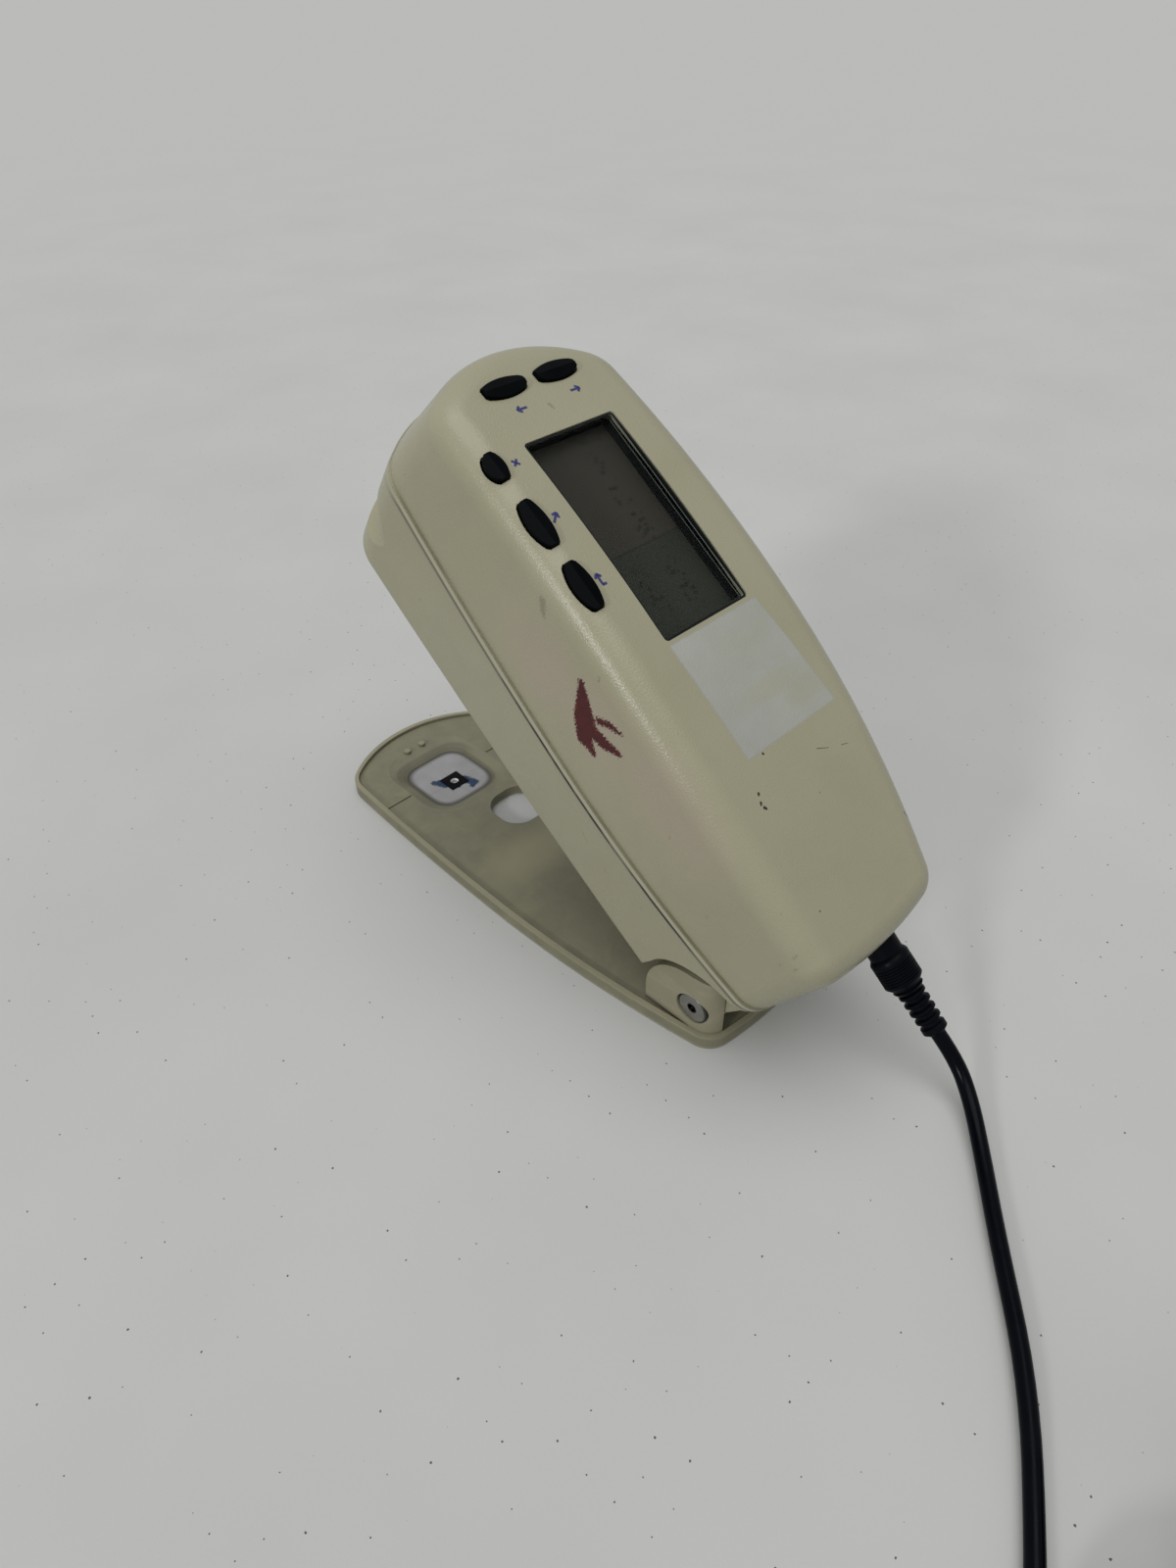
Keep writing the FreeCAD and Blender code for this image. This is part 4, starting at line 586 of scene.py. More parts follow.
def bead_lines(made, place, body):
    """Cover's bead: a painted highlight along its crest, painted shade of the parting gap under it and a finer line
    of painted shade above.
    """
    x, y, z = made.apart(place)
    side = made.times(made.rise(made.maths("ABSOLUTE", x), 0.02, 0.026), made.rise(y, 0.168, 0.158))
    crest = made.times(line_across(made, z, BEAD_CREST, 0.0006, 0.0004), side)
    # Painted highlight along the crest.
    body = made.paint(body, crest, 0.55, PAINTED_HIGHLIGHT)
    uneven = made.tone(0.006, place=made.vector("MULTIPLY", place, (1.0, 0.5, 1.0)))
    above = made.times(line_across(made, z, BEAD_TOP, 0.00008, 0.00014), side)
    # Painted shade where the cover's wall meets the bead.
    body = made.paint(body, above, made.plus(0.2, made.times(uneven, 0.3)), (0.05, 0.045, 0.028))
    middle = made.times(made.rise(y, 0.012, 0.03), made.rise(y, 0.125, 0.085))
    depth = made.plus(0.6, made.times(middle, made.rise(uneven, 0.25, 0.6), 0.4))
    # Painted shade of the parting gap, hidden under the bead, with the dirt in it.
    below = made.times(made.rise(z, BEAD_FOOT, BEAD_FOOT - 0.0003), side)
    return made.paint(body, below, depth, (0.006, 0.005, 0.003))


def lip_lines(made, place, body):
    """Housing's upper lip: a painted highlight along its edge, and a fine darker line under it."""
    x, _, z = made.apart(place)
    side = made.rise(made.maths("ABSOLUTE", x), 0.02, 0.026)
    # Painted highlight along the lip's edge.
    body = made.paint(body, made.times(line_across(made, z, LIP_EDGE, 0.00018, 0.00012), side), 0.6, PAINTED_HIGHLIGHT)
    under = made.times(line_across(made, z, LIP_FOOT, 0.00007, 0.00014), side)
    return made.paint(body, under, 0.4, (0.08, 0.072, 0.045))


def label_reach(made, place, x, y):
    """Distance in from the edge of the label's trace, four slightly ragged sides."""
    left = made.minus(x, made.plus(LABEL_LEFT, made.times(made.minus(y, LABEL_REAR), LEFT_LEAN)))
    right = made.minus(made.plus(LABEL_RIGHT, made.times(made.minus(y, RIGHT_REAR), RIGHT_LEAN)), x)
    ends = made.least(made.minus(y, LABEL_REAR), made.minus(LABEL_FRONT, y))
    ragged = made.times(made.minus(made.noise(place, 0.0012, detail=3), 0.5), 0.0006)
    return made.plus(made.least(left, right, ends), ragged)


def make_cover_finish():
    """Upper shell: the red smear with its pink halo, the pale trace of a label, scuffs and specks."""
    made = Finish("cover_shell", specular=0.4)
    place = made.shut_place()
    x, y, z = made.apart(place)
    body = shell_body(made, place)
    spots = [made.times(made.spot(centre, radii, 0.75, place), share) for centre, radii, share in PINK_SPOTS]
    uneven = made.plus(0.65, made.times(made.tone(0.014, place=place), 0.35))
    pink = made.times(made.most(*spots), made.rise(x, -0.022, -0.03), uneven)
    body = made.mix(pink, body, (0.335, 0.27, 0.222))
    red = made.strokes("X", RED_STROKES, 0.0046, 0.00055, 0.00005, place)
    red = made.times(red, made.rise(x, -0.0285, -0.0315))
    body = made.mix(red, body, made.mix(made.tone(0.002, place=place), (0.034, 0.0, 0.0), (0.068, 0.0, 0.001)))
    inside = label_reach(made, place, x, y)
    top = made.rise(z, 0.06, 0.065)
    trace = made.times(made.rise(inside, -0.00008, 0.00012), top)
    clear = made.most(made.spot((16, 62, 79), (9, 4, 9), 0.5, place), made.spot((6, 67, 79), (13, 3, 9), 0.6, place))
    worn = made.plus(0.62, made.times(made.stain(0.03, 0.56, 0.22, place), 0.34))
    kept = made.times(trace, made.minus(worn, made.times(clear, 0.35), clamp=True))
    body = made.mix(kept, body, made.mix(made.tone(0.02, place=place), (0.288, 0.298, 0.268), (0.335, 0.345, 0.316)))
    rim = made.times(made.rise(inside, -0.0001, 0.0001), made.rise(inside, 0.0006, 0.0002), top)
    body = made.paint(body, rim, 0.28, (0.2, 0.185, 0.13))
    marks = made.strokes("Z", tapered(COVER_MARKS, 0.7), 0.0001, 0.0003, 0.00004, place)
    body = made.paint(body, made.times(marks, made.rise(z, 0.068, 0.071)), 0.95, (0.008, 0.006, 0.004))
    scuffs = made.strokes("X", tapered(SIDE_SCUFFS, 0.6), 0.0032, 0.0006, 0.0005, place)
    body = made.paint(body, made.times(scuffs, made.rise(x, -0.022, -0.027)), 0.4, (0.09, 0.08, 0.055))
    shell_surface(made, place, made.most(trace, made.times(red, 2.0)))
    return made.coloured(bead_lines(made, place, body))


def make_housing_finish():
    """Lower shell: as the cover, a little more handled, with long faint scuffs."""
    made = Finish("housing_shell", specular=0.4)
    place = made.shut_place()
    body = shell_body(made, place)
    rows = [(start, end, 0.22, 0.1) for start, end in HOUSING_SCUFFS]
    scuffs = made.strokes("X", rows, 0.0006, 0.0006, 0.0002, place)
    body = made.paint(body, scuffs, 0.4, (0.12, 0.1, 0.06))
    shell_surface(made, place, scuffs)
    return made.coloured(lip_lines(made, place, body))


def window_reach(made):
    """How far out a place is from the opal window's middle, 1 at its edge, and the same along Y alone."""
    off = made.vector("DIVIDE", made.vector("SUBTRACT", made.place, mm(*WINDOW_MIDDLE)), (*WINDOW_HALF, 1.0))
    side, ahead, _ = made.apart(off)
    fourth = [made.maths("POWER", made.maths("ABSOLUTE", part), 4.0) for part in (side, ahead)]
    return made.maths("POWER", made.plus(*fourth), 0.25), ahead


def make_shoe_finish():
    """Shoe: the same beige gone darker, with grey and yellowish stains over its floor, and painted shade towards the
    hinge, round the window's pit and in its corners.
    """
    made = Finish("shoe_shell", 0.5, specular=0.25)
    place = made.place
    z = made.apart(place)[2]
    body = made.mix(made.tone(0.03), (0.225, 0.213, 0.142), (0.262, 0.249, 0.168))
    floor = made.times(made.rise(z, 0.0047, 0.0038), made.rise(z, 0.0005, 0.0012))
    body = made.paint(body, floor, 0.8, (0.175, 0.168, 0.112))
    grey = made.stain(0.009, 0.5, 0.2)
    body = made.paint(body, made.times(grey, floor), 0.5, (0.135, 0.13, 0.088))
    yellow = made.stain(0.018, 0.44, 0.1, made.vector("ADD", place, (0.3, 0.1, 0.0)))
    body = made.paint(body, made.times(yellow, floor), 0.25, (0.25, 0.23, 0.145))
    wiped = made.spot((-8, 88, 3.6), (17, 9, 4), 0.7, place)
    body = made.paint(body, wiped, 0.8, (0.285, 0.266, 0.174))
    # Painted shade on the floor towards the hinge, under the raised instrument.
    shade = made.spot((-14, 60, 3.6), (13, 24, 4), 0.7, place)
    body = made.paint(body, shade, 0.25, (0.17, 0.162, 0.115))
    reach, ahead = window_reach(made)
    # Painted shade of the sloping walls of the window's pit, widest on its nose side.
    pit_far_wall_shade = made.times(made.rise(reach, 1.34, 1.24), made.rise(ahead, 0.2, 0.9))
    pit_shade = made.plus(made.rise(reach, 1.16, 1.06), made.times(pit_far_wall_shade, 0.75), clamp=True)
    body = made.paint(body, made.times(pit_shade, floor), 0.62, (0.075, 0.07, 0.046))
    rub = made.stain(0.006, 0.42, 0.08, made.vector("MULTIPLY", place, (1.0, 0.25, 1.0)))
    body = made.paint(body, made.times(rub, made.rise(z, 0.0046, 0.0052)), 0.35, (0.33, 0.29, 0.225))
    body = made.paint(body, made.specks(0.004, 0.4, 0.0003), 0.5, (0.07, 0.055, 0.035))
    made.roughen(0.46, grey, 0.1)
    made.bump(made.grain(0.0006), 0.00004, rounding=0.0003)
    # Painted shade in corners and slots.
    return made.coloured(made.paint(body, made.recess_shade(0.0025), 0.75, (0.06, 0.053, 0.034)))


# ---- target, display and keys
def make_opal_finish():
    """Opal window of the target: cloudy white with hair lines and blue ink rubbed in, painted light in the
    aperture's hole and painted shade along its edge.
    """
    made = Finish("opal_window", 0.35, specular=0.3)
    x, y, _ = made.apart(made.place)
    body = made.mix(made.tone(0.012), (0.255, 0.252, 0.25), (0.315, 0.312, 0.312))
    lines = [line_across(made, value, middle * MM, 0.00008, 0.00008) for value, middle in zip((x, y), APERTURE)]
    body = made.paint(body, made.times(made.most(*lines), made.stain(0.003, 0.55, 0.1)), 0.45, (0.13, 0.13, 0.12))
    body = made.paint(body, made.strokes("Z", TARGET_INK, 0.003, 0.0008, 0.0004), 0.95, (0.003, 0.026, 0.075))
    body = made.paint(body, made.stain(0.005, 0.4, 0.12), 0.25, (0.25, 0.245, 0.23))
    # Painted light: the opal in the aperture's hole made near white.
    off = made.away(made.place, mm(*APERTURE), (1.0, 1.0, 0.0))
    bare = made.rise(off, APERTURE_RADIUS + 0.0003, APERTURE_RADIUS)
    body = made.mix(bare, body, (0.85, 0.86, 0.85))
    reach, _ = window_reach(made)
    made.put("Subsurface Weight", 0.15)
    made.put("Subsurface Radius", (0.001, 0.001, 0.001))
    made.bump(made.noise(made.place, 0.0015), 0.00001)
    # Painted shade along the window's edge, next to the walls of its pit.
    return made.coloured(made.paint(body, made.rise(reach, 0.85, 1.0), 0.85, (0.05, 0.048, 0.036)))


def make_key_finish():
    """Black keys: satin, finely grained, polished here and there by use."""
    made = Finish("key_black", 0.34, specular=0.03)
    tone = made.tone(0.006)
    body = made.mix(tone, (0.0006, 0.001, 0.0015), (0.0015, 0.002, 0.0028))
    made.roughen(0.29, tone, 0.12)
    made.bump(made.grain(0.0003), 0.00002, rounding=0.0003)
    return made.coloured(made.paint(body, made.specks(0.0022, 0.3, 0.00007), 0.3, (0.1, 0.1, 0.095)))


# Where the two halves of the panel meet, in metres.
PANEL_JOINT_Y = 0.1148
GHOST_SPOTS = [((7, 128, 71), (6, 16, 30), 0.6), ((3, 101, 71), (8, 7, 30), 0.5), ((-8, 104, 71), (4, 6, 30), 0.6)]


def make_lcd_finish():
    """Liquid crystal panel: grey-green, with ghosts of old rows and one faint joint."""
    made = Finish("lcd_panel", 0.32, specular=0.08)
    place = made.shut_place()
    y = made.apart(place)[1]
    half = made.rise(y, PANEL_JOINT_Y - 0.00015, PANEL_JOINT_Y + 0.00015)
    body = made.mix(half, (0.029, 0.033, 0.025), (0.038, 0.036, 0.029))
    tone = made.tone(0.02, place=place)
    body = made.paint(body, tone, 0.35, (0.043, 0.044, 0.034))
    rows = made.add("TexWave", {"Vector": place, "Scale": 30.0, "Distortion": 0.0}, bands_direction="X")["Fac"]
    tall = made.vector("MULTIPLY", place, (1.0, 1.6, 0.0))
    cells = made.add("TexVoronoi", {"Vector": tall, "Scale": 430.0}, feature="F1")["Distance"]
    glyphs = made.times(made.rise(rows, 0.35, 0.75), made.rise(cells, 0.5, 0.3))
    where = made.most(*(made.spot(*spot, place) for spot in GHOST_SPOTS))
    body = made.paint(body, made.times(glyphs, where), 0.6, (0.009, 0.011, 0.01))
    body = made.paint(body, line_across(made, y, PANEL_JOINT_Y, 0.00015, 0.0003), 0.4, (0.014, 0.014, 0.012))
    made.roughen(0.26, tone, 0.1)
    return made.coloured(made.paint(body, made.specks(0.0035, 0.3, 0.00009, place), 0.35, (0.14, 0.13, 0.11)))


def make_pane_finish():
    """Clear, faintly smoked display window with a little haze and a few dust grains on it."""
    made = Finish("display_pane", 0.04)
    haze, dust = made.stain(0.008, 0.4, 0.15), made.specks(0.003, 0.4, 0.00012)
    body = made.mix(haze, (0.008, 0.009, 0.008), (0.02, 0.021, 0.019))
    made.roughen(0.04, haze, 0.05)
    made.put("Alpha", made.plus(0.05, made.times(dust, 0.3)))
    return made.coloured(made.mix(dust, body, (0.16, 0.16, 0.14)))


# ---- metals, rubber and inner parts
# Radii of the hinge pin's socket and head, and half the length of a cell's sleeve, in metres.
SOCKET_RADIUS, HEAD_RADIUS, HALF_SLEEVE = 0.0019, 0.0044, 0.0238


def start_metal(name, colour, roughness, cover, film):
    """Bare metal with fine lines, and its colour under a film over this share of it."""
    made = Finish(name, roughness, metallic=1.0)
    lines = made.noise(made.place, 0.0004, detail=3.0)
    made.roughen(roughness - 0.06, lines, 0.14)
    made.bump(lines, 0.000008, rounding=0.00015)
    return made, made.paint(colour, made.stain(0.004, cover, 0.15), 0.5, film)


def make_metal(name, colour, roughness):
    """Machined or drawn metal, with painted shade in its corners."""
    made, body = start_metal(name, colour, roughness, 0.4, darker(colour, 0.55))
    # Painted shade in corners and slots.
    return made.coloured(made.paint(body, made.recess_shade(0.001), 0.7, darker(colour, 0.15)))


def make_pin_finish():
    """Steel of the hinge pins, with painted shade: black in the hexagon socket and dark along the edge of the head.
    """
    made, body = start_metal("pin_steel", (0.34, 0.335, 0.315), 0.36, 0.45, (0.2, 0.196, 0.18))
    off = made.away(made.place, HINGE, (0.0, 1.0, 1.0))
    # Painted shade: black in the socket and dark round the head's edge in its counterbore.
    rim = made.times(made.rise(off, HEAD_RADIUS, HEAD_RADIUS + 0.0006), 0.75)
    dark = made.most(made.rise(off, SOCKET_RADIUS, SOCKET_RADIUS - 0.00045), rim)
    return made.coloured(made.mix(dark, body, (0.02, 0.019, 0.017)))


def make_lead_finish(name, roughness):
    """Black lead: smooth vinyl with dust, dull patches and faint rubbing."""
    made = Finish(name, roughness, specular=0.07)
    body = made.mix(made.tone(0.01), (0.0007, 0.0012, 0.0026), (0.0016, 0.0022, 0.004))
    made.roughen(roughness, made.stain(0.006, 0.45, 0.15), 0.12)
    made.bump(made.noise(made.place, 0.0006, detail=3.0), 0.00001)
    return made.coloured(made.paint(body, made.specks(0.003, 0.35, 0.0001), 0.35, (0.12, 0.12, 0.12)))


def make_board_finish():
    """Circuit board: green lacquer over copper tracks, with plated pads."""
    made = Finish("circuit_board", 0.35)
    bricks = {"Color1": rgb(0, 0, 0), "Color2": rgb(0, 0, 0), "Mortar": rgb(1, 1, 1), "Mortar Size": 0.09}
    tracks = made.add("TexBrick", {"Vector": made.place, "Scale": 140.0, **bricks})["Color"]
    pads = made.specks(0.0035, 0.5, 0.0009)
    body = made.mix(made.tone(0.02), (0.006, 0.06, 0.025), (0.01, 0.085, 0.035))
    body = made.paint(body, tracks, 0.6, (0.03, 0.17, 0.07))
    made.put("Metallic", pads)
    made.bump(made.plus(tracks, pads), 0.00003)
    return made.coloured(made.mix(pads, body, (0.55, 0.5, 0.36)))


def make_ribbon_finish():
    """Flat cable: cores side by side under pale film."""
    made = Finish("flat_cable", 0.4)
    cores = made.add("TexWave", {"Vector": made.place, "Scale": 160.0}, bands_direction="X")["Fac"]
    body = made.mix(made.tone(0.01), (0.3, 0.29, 0.27), (0.38, 0.37, 0.34))
    made.bump(cores, 0.0001)
    return made.coloured(made.mix(made.rise(cores, 0.6, 0.9), body, (0.2, 0.19, 0.17)))


def make_cell_finish():
    """Battery cells: plain shrink sleeve and bare metal ends."""
    made = Finish("cell_jacket", 0.3)
    ends = made.rise(made.maths("ABSOLUTE", made.apart(made.place)[0]), HALF_SLEEVE, HALF_SLEEVE + 0.0003)
    body = made.mix(made.tone(0.01), (0.02, 0.06, 0.13), (0.03, 0.08, 0.17))
    made.put("Metallic", ends)
    made.bump(made.noise(made.place, 0.002), 0.00003)
    return made.coloured(made.mix(ends, body, (0.6, 0.6, 0.58)))


def make_glass(name, colour, roughness):
    made = Finish(name, roughness)
    made.put("Transmission Weight", 1.0)
    made.roughen(roughness, made.stain(0.004, 0.4, 0.1), 0.06)
    return made.coloured(rgb(*colour))


def make_print(name, size, worn, full, specular=0.5, depth=0.0):
    """Printed layer, worn in patches of this size, and grained if it has a depth."""
    made = Finish(name, 0.45, specular=specular)
    if depth:
        made.bump(made.noise(made.place, 0.0004), depth)
    return made.coloured(made.mix(made.tone(size), worn, full))


def make_edge_finish():
    """Polished cut edge of the display window, bright as a painted highlight but for its side towards +X, which is
    painted shade.
    """
    made = Finish("pane_edge", 0.2)
    body = made.mix(made.tone(0.015), (0.11, 0.13, 0.115), (0.2, 0.225, 0.2))
    # Painted shade on the side towards +X; the rest is bright as a painted highlight.
    shaded = made.rise(made.apart(made.place)[0], 0.0136, 0.0144)
    return made.coloured(made.mix(shaded, (0.012, 0.014, 0.013), body))


PLUG = make_lead_finish("plug_vinyl", 0.36)
TRIM = moulded("display_black", (0.006, 0.0075, 0.0075), 0.4, depth=0.000006, rounding=0.0, specular=0.15)
MASK = make_print("aperture_black", 0.002, (0.002, 0.0022, 0.003), (0.005, 0.0055, 0.007), 0.05, 0.00002)
FINISHES = {
    "top_cover": make_cover_finish(),
    "lower_housing": make_housing_finish(),
    "shoe_plate": make_shoe_finish(),
    "target_window": make_opal_finish(),
    "aperture_mask": MASK,
    "hinge_pin_right hinge_pin_left": make_pin_finish(),
    "hinge_bush_right hinge_bush_left": make_metal("bush_bronze", (0.5, 0.32, 0.15), 0.4),
    "torsion_spring": make_metal("spring_steel", (0.35, 0.35, 0.36), 0.3),
    "display_window": make_pane_finish(),
    "display_frame": TRIM,
    "lcd_panel": make_lcd_finish(),
    "key_escape key_up key_enter key_left key_right": make_key_finish(),
    "keypad_mat": moulded("keypad_elastomer", (0.05, 0.05, 0.052), 0.6),
    "control_board main_board sensor_board": make_board_finish(),
    "display_ribbon": make_ribbon_finish(),
    "optics_housing": make_metal("optics_alloy", (0.1, 0.1, 0.105), 0.5),
    "lens_barrel": make_glass("lens_glass", (0.95, 0.96, 0.97), 0.03),
    "lamp": make_glass("lamp_glass", (0.98, 0.93, 0.8), 0.05),
    "battery_cells": make_cell_finish(),
    "battery_cradle aperture_snout measure_switch power_socket": moulded("inner_plastic", (0.03, 0.03, 0.032), 0.5),
    "housing_screws main_board_screws control_board_screws": make_metal("zinc_screw", (0.5, 0.5, 0.47), 0.35),
    "adapter_prongs": make_metal("prong_metal", (0.62, 0.6, 0.54), 0.25),
}


def dress(item, material):
    """Give a piece this material in place of what it has."""
    item.data.materials.clear()
    item.data.materials.append(material)


for names, finish in FINISHES.items():
    for name in names.split():
        dress(nodes[name], finish)
dress(cord, make_lead_finish("lead_vinyl", 0.17))


# ---- plug, strain relief and adapter
PLUG_X, PLUG_Z, PLUG_FACE_Y, PLUG_END_Y = 13.3, 52.0, -7.33, -24.73
LEAD_PLACE = SWING @ Matrix.Translation(mm(PLUG_X, 0, PLUG_Z))
GRIP_RINGS, GRIP_START, GRIP_PITCH = 7, 8.9, 0.8
RELIEF_RINGS, RELIEF_START, RELIEF_PITCH = 5, 1.3, 2.68
ADAPTER_LENGTH, ADAPTER_WIDTH, ADAPTER_HEIGHT, ADAPTER_BACK = 48.0, 36.0, 27.0, 5.6
ADAPTER_SEAM = (13.2, 13.8)
COIL_OUTER = COIL_DIAMETER / 2 + CORD_DIAMETER * TURNS_A_LAYER / 2


def make_plug():
    """Moulded plug: a plain neck, and a stepped grip with fine rings for the fingers."""
    outline = [(0.0, 4.7), (0.4, 5.1), (6.3, 4.95), (6.7, 5.3), (7.5, 5.8), (8.4, 5.8)]
    for ring in range(GRIP_RINGS):
        here = GRIP_START + ring * GRIP_PITCH
        outline += [(here, 5.8), (here + 0.14, 5.52), (here + 0.44, 5.52), (here + 0.58, 5.8)]
    outline += [(15.0, 5.8), (15.3, 5.6), (16.6, 4.4), (17.4, 4.2)]
    body = drawn_out("lead_plug_body", outline, sides=64)
    return placed(body, LEAD_PLACE @ Matrix.Translation(mm(0, PLUG_FACE_Y, 0)))


def make_relief():
    """Strain relief: a short cone and rounded rings, the last one longer, on a slim core."""
    outline = [(0.0, 4.6), (0.9, 3.9), (1.2, 2.9)]
    for ring in range(RELIEF_RINGS):
        start, wide = RELIEF_START + ring * RELIEF_PITCH, 3.95 - 0.06 * ring
        long = 1.55 if ring < RELIEF_RINGS - 1 else 2.4
        flank = [(0.0, 2.9), (0.04, wide * 0.83), (0.2, wide * 0.94), (0.45, wide)]
        outline += [(start + reach, radius) for reach, radius in flank]
        outline += [(start + long - reach, radius) for reach, radius in reversed(flank)]
    outline += [(14.95, 2.6), (15.0, 2.3)]
    body = drawn_out("strain_relief_sleeve", outline)
    return placed(body, LEAD_PLACE @ Matrix.Translation(mm(0, PLUG_END_Y, 0)))


def faces_where(item, test):
    """Select the faces whose middle and normal pass the test; edit mode is left on."""
    bpy.ops.mesh.select_mode(type="FACE")
    bpy.ops.mesh.select_all(action="DESELECT")
    bpy.ops.object.mode_set(mode="OBJECT")
    for face in item.data.polygons:
        face.select = test(face.center, face.normal)
    bpy.ops.object.mode_set(mode="EDIT")


def make_adapter():
    """Mains adapter: a rounded body with a seam and a shallow bare panel on top."""
    bpy.ops.mesh.primitive_cube_add(size=1, location=mm(0, 0, ADAPTER_HEIGHT / 2),
                                    scale=mm(ADAPTER_LENGTH, ADAPTER_WIDTH, ADAPTER_HEIGHT))
    item = bpy.context.object
    item.name = "adapter_body"
    apply_place(item)
    edit(item)
    bpy.ops.mesh.bevel(offset=3.0 * MM, segments=5, affect="EDGES")
    for height in ADAPTER_SEAM:
        bpy.ops.mesh.select_all(action="SELECT")
        bpy.ops.mesh.bisect(plane_co=mm(0, 0, height), plane_no=(0, 0, 1))
    low, high = (height * MM for height in ADAPTER_SEAM)
    faces_where(item, lambda centre, normal: low < centre.z < high)
    bpy.ops.mesh.extrude_region_shrink_fatten(TRANSFORM_OT_shrink_fatten={"value": -0.35 * MM})
    faces_where(item, lambda centre, normal: normal.z > 0.999)
    bpy.ops.mesh.inset(thickness=4.5 * MM, depth=0)
    bpy.ops.mesh.inset(thickness=0.3 * MM, depth=-0.35 * MM)
    closed_up(item, 25)
    return placed(item, Matrix.Translation(mm(COIL_X + COIL_OUTER + ADAPTER_LENGTH / 2, COIL_Y - ADAPTER_BACK, 0)))


def make_adapter_relief():
    """Short ribbed sleeve where the lead goes into the adapter."""
    outline = [(0.0, 3.6), (0.8, 3.6)]
    for ring in range(3):
        here = 0.9 + ring * 2.0
        outline += [(here, 2.7), (here + 0.5, 2.7), (here + 0.6, 3.4 - 0.2 * ring), (here + 1.9, 3.3 - 0.2 * ring)]
    outline += [(7.0, 2.7), (8.0, 2.5)]
    body = drawn_out("adapter_relief", outline, sides=32)
    end = mm(COIL_X + COIL_OUTER + 0.2, COIL_Y - 5.4, ADAPTER_CORD_Z)
    return placed(body, Matrix.Translation(end) @ Matrix.Rotation(math.radians(-69.2), 4, "Z"))


plug, relief = make_plug(), make_relief()
for piece, stands_for in ((plug, "lead_plug"), (relief, "strain_relief")):
    dress(piece, PLUG)
    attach(piece, "instrument")
    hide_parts(stands_for)

adapter, adapter_relief = make_adapter(), make_adapter_relief()
for piece in (adapter, adapter_relief):
    dress(piece, PLUG)
    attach(piece, "shoe")
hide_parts("power_adapter")

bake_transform(cord)
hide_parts("cord_run", "cord_coil")


# ---- display edges and key symbols
DISPLAY_WIDTH, DISPLAY_LENGTH, DISPLAY_Y = 29.8, 58.8, 119.5
# Rings that follow the display opening, in millimetres: depth below the crown, how much wider than the
# opening, width of the wall and height of the ring.
PANE_RINGS = ((1.53, -0.02, 0.15, 0.1), (3.08, 0.06, 0.13, 0.1))
WELL_RING = (6.15, 0.38, 0.3, 3.05)


def display_ring(name, drop, grow, wall, height):
    """Rectangular ring round the display opening, with rounded corners."""
    bpy.ops.mesh.primitive_plane_add(size=1, scale=(1, 1, 1))
    item = bpy.context.object
    item.name = name
    item.scale = mm(DISPLAY_WIDTH + 2 * grow, DISPLAY_LENGTH + 2 * grow, 1000)
    apply_place(item)
    edit(item)
    bpy.ops.mesh.bevel(offset=0.6 * MM, segments=4, affect="VERTICES")
    bpy.ops.mesh.select_all(action="SELECT")
    bpy.ops.mesh.inset(thickness=wall * MM)
    bpy.ops.mesh.delete(type="FACE")
    bpy.ops.mesh.select_all(action="SELECT")
    bpy.ops.mesh.extrude_region_move(TRANSFORM_OT_translate={"value": (0, 0, height * MM)})
    return placed(closed_up(item), on_crown(0, DISPLAY_Y, -drop))


STROKE_WIDTH, INK_THICKNESS, INK_LIFT = 0.68, 0.03, 0.02


def bar(start, end):
    """Flat stroke from start to end, in millimetres on the plane z 0."""
    (x0, y0), (x1, y1) = start, end
    bpy.ops.mesh.primitive_plane_add(size=1)
    item = bpy.context.object
    item.scale = mm(math.hypot(x1 - x0, y1 - y0), STROKE_WIDTH, 1000)
    item.location = mm((x0 + x1) / 2, (y0 + y1) / 2, 0)
    item.rotation_euler = (0, 0, math.atan2(y1 - y0, x1 - x0))
    apply_place(item)
    edit(item)
    bpy.ops.mesh.subdivide(number_cuts=7)
    bpy.ops.object.mode_set(mode="OBJECT")
    return item


def symbol(name, x, y, turn, strokes):
    """Printed mark on the cover: flat strokes laid on its surface, as thin as ink."""
    item = joined(name, [bar(start, end) for start, end in strokes])
    item.matrix_world = on_crown(x, y, 4.0) @ Matrix.Rotation(math.radians(turn), 4, "Z")
    bpy.context.view_layer.update()
    modified(item, "SHRINKWRAP", target=nodes["top_cover"], wrap_method="PROJECT", use_project_z=True,
             use_negative_direction=True, use_positive_direction=False, offset=INK_LIFT * MM)
    modified(item, "SOLIDIFY", thickness=INK_THICKNESS * MM, offset=1.0)
    apply_place(item)
    return closed_up(item)


ARROW = [((-1.6, 0), (1.5, 0)), ((1.6, 0), (0.4, 0.95)), ((1.6, 0), (0.4, -0.95))]
CROSS = [((-0.85, -0.85), (0.85, 0.85)), ((-0.85, 0.85), (0.85, -0.85))]
RETURN = [((-1.5, 0), (1.5, 0)), ((1.6, 0), (0.5, 0.95)), ((1.6, 0), (0.5, -0.95)), ((-1.5, 0.2), (-1.5, -1.2))]
# Name, place in millimetres, turn in degrees and strokes of each symbol.
SYMBOLS = [
    ("symbol_escape", -20.9, 146.2, 0, CROSS), ("symbol_up", -21.5, 129.3, 43, ARROW),
    ("symbol_enter", -21.6, 110.8, 90, RETURN), ("symbol_left", -8.4, 159.2, 180, ARROW),
    ("symbol_right", 10.1, 159.4, 0, ARROW)]

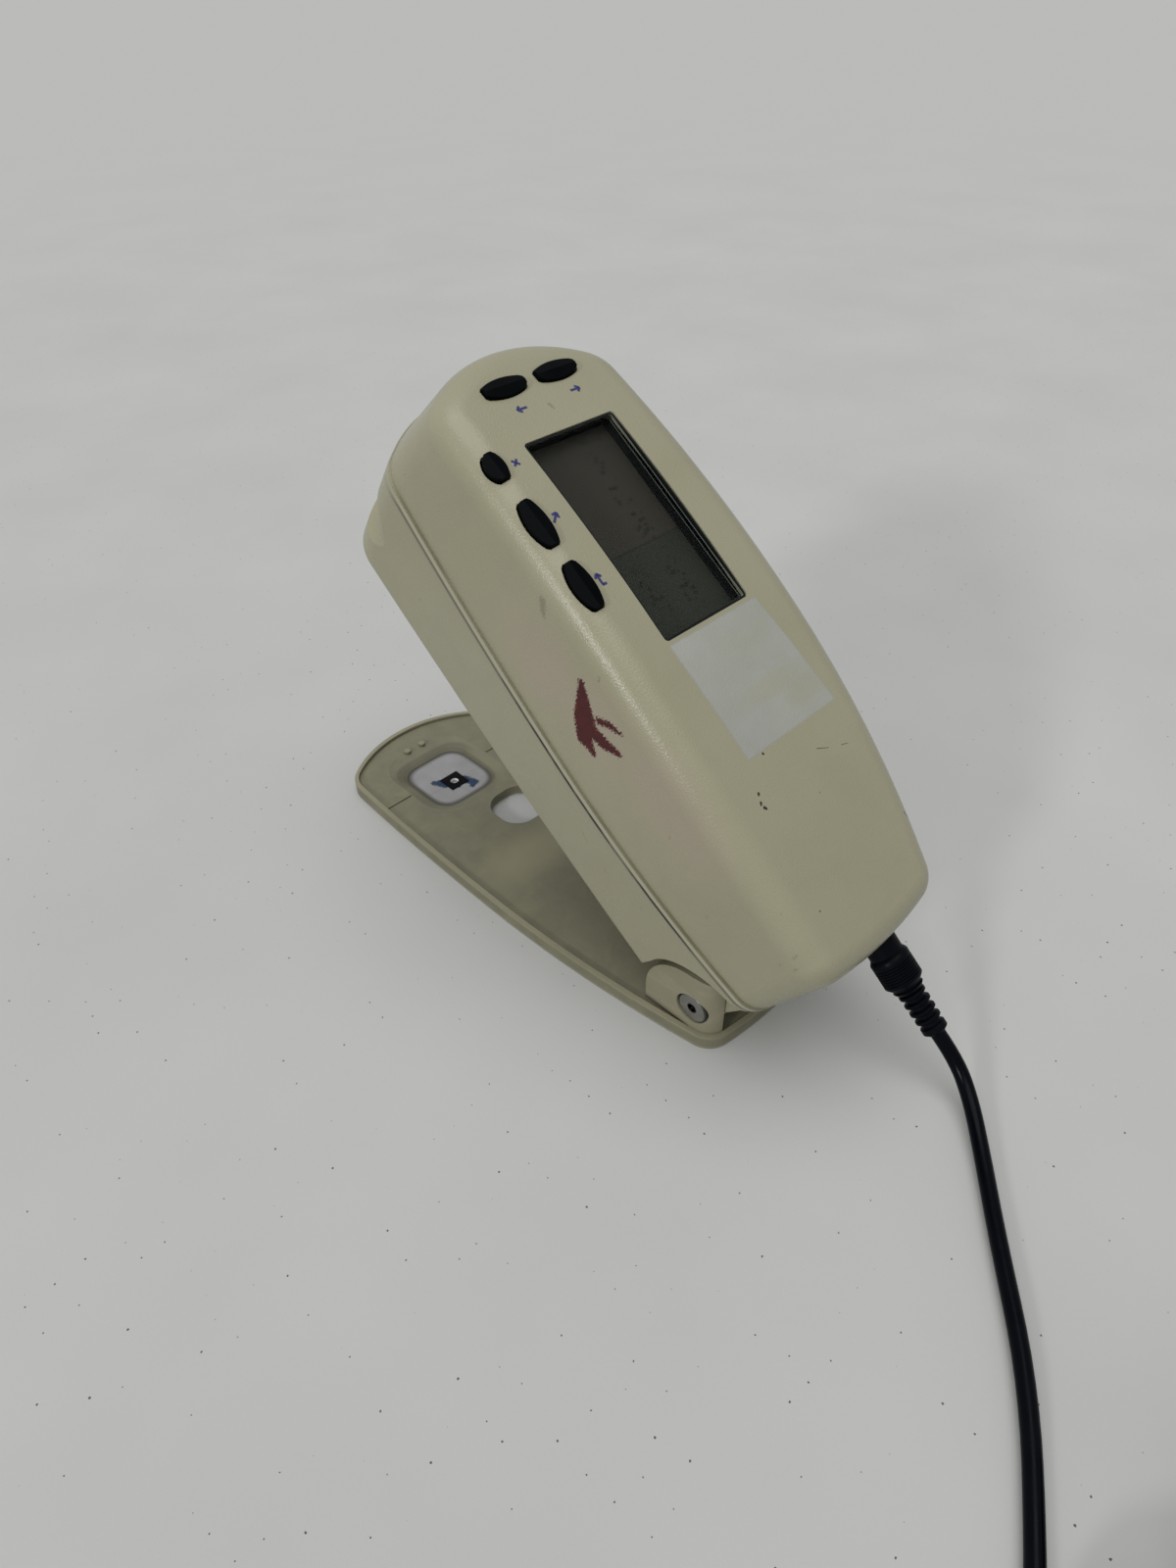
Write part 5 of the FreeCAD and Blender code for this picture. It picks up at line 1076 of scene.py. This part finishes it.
INK = make_print("symbol_ink", 0.0012, (0.008, 0.01, 0.09), (0.025, 0.028, 0.15))
for row in SYMBOLS:
    mark = symbol(*row)
    dress(mark, INK)
    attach(mark, "instrument")
pane_edges = joined("pane_edges", [display_ring("pane_edges", *row) for row in PANE_RINGS])
display_well = display_ring("display_well", *WELL_RING)
dress(pane_edges, make_edge_finish())
dress(display_well, TRIM)
for piece, slot in ((pane_edges, "pane"), (display_well, "display_trim")):
    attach(piece, "instrument")


# ---- stage
# Size and depth of the floor, in metres.
FLOOR_SIZE, FLOOR_DROP = 14, 0.0002
SKY_COLOUR, SKY_STRENGTH = (0.98, 0.98, 1.0, 1), 0.45
# Name, strength, spread in degrees and direction of each sun.
SUNS = [("overhead_sky", 1.6, 60, (-0.1, -0.08, 1.0)), ("left_window", 0.95, 8, (-0.9, -0.1, 0.4))]


def make_floor_finish():
    """Grey paper backdrop with fine lint."""
    made = Finish("backdrop_paper", 0.95, specular=0.2)
    body = made.mix(made.tone(0.12), (0.437, 0.441, 0.428), (0.472, 0.475, 0.463))
    far = made.rise(made.vector("LENGTH", made.place), 0.4, 2.2)
    body = made.mix(far, body, (0.46, 0.46, 0.45))
    made.bump(made.noise(made.place, 0.0012, detail=3.0), 0.00003)
    return made.coloured(made.paint(body, made.specks(0.008, 0.4, 0.0003, kind=LINT), 0.9, (0.06, 0.06, 0.055)))


def make_stage():
    """Paper floor, an even sky and two suns."""
    bpy.ops.mesh.primitive_plane_add(size=FLOOR_SIZE, location=(0, 0, -FLOOR_DROP))
    floor = bpy.context.object
    floor.name = "floor"
    dress(floor, make_floor_finish())
    scene.world = bpy.data.worlds.new("studio")
    scene.world.use_nodes = True
    sky = scene.world.node_tree.nodes["Background"].inputs
    sky["Color"].default_value, sky["Strength"].default_value = SKY_COLOUR, SKY_STRENGTH
    for name, strength, spread, place in SUNS:
        light = bpy.data.lights.new(name, "SUN")
        light.energy, light.angle = strength, math.radians(spread)
        lamp = bpy.data.objects.new(name, light)
        lamp.location = place
        lamp.rotation_euler = (-lamp.location).to_track_quat("-Z", "Y").to_euler()
        scene.collection.objects.link(lamp)


make_stage()
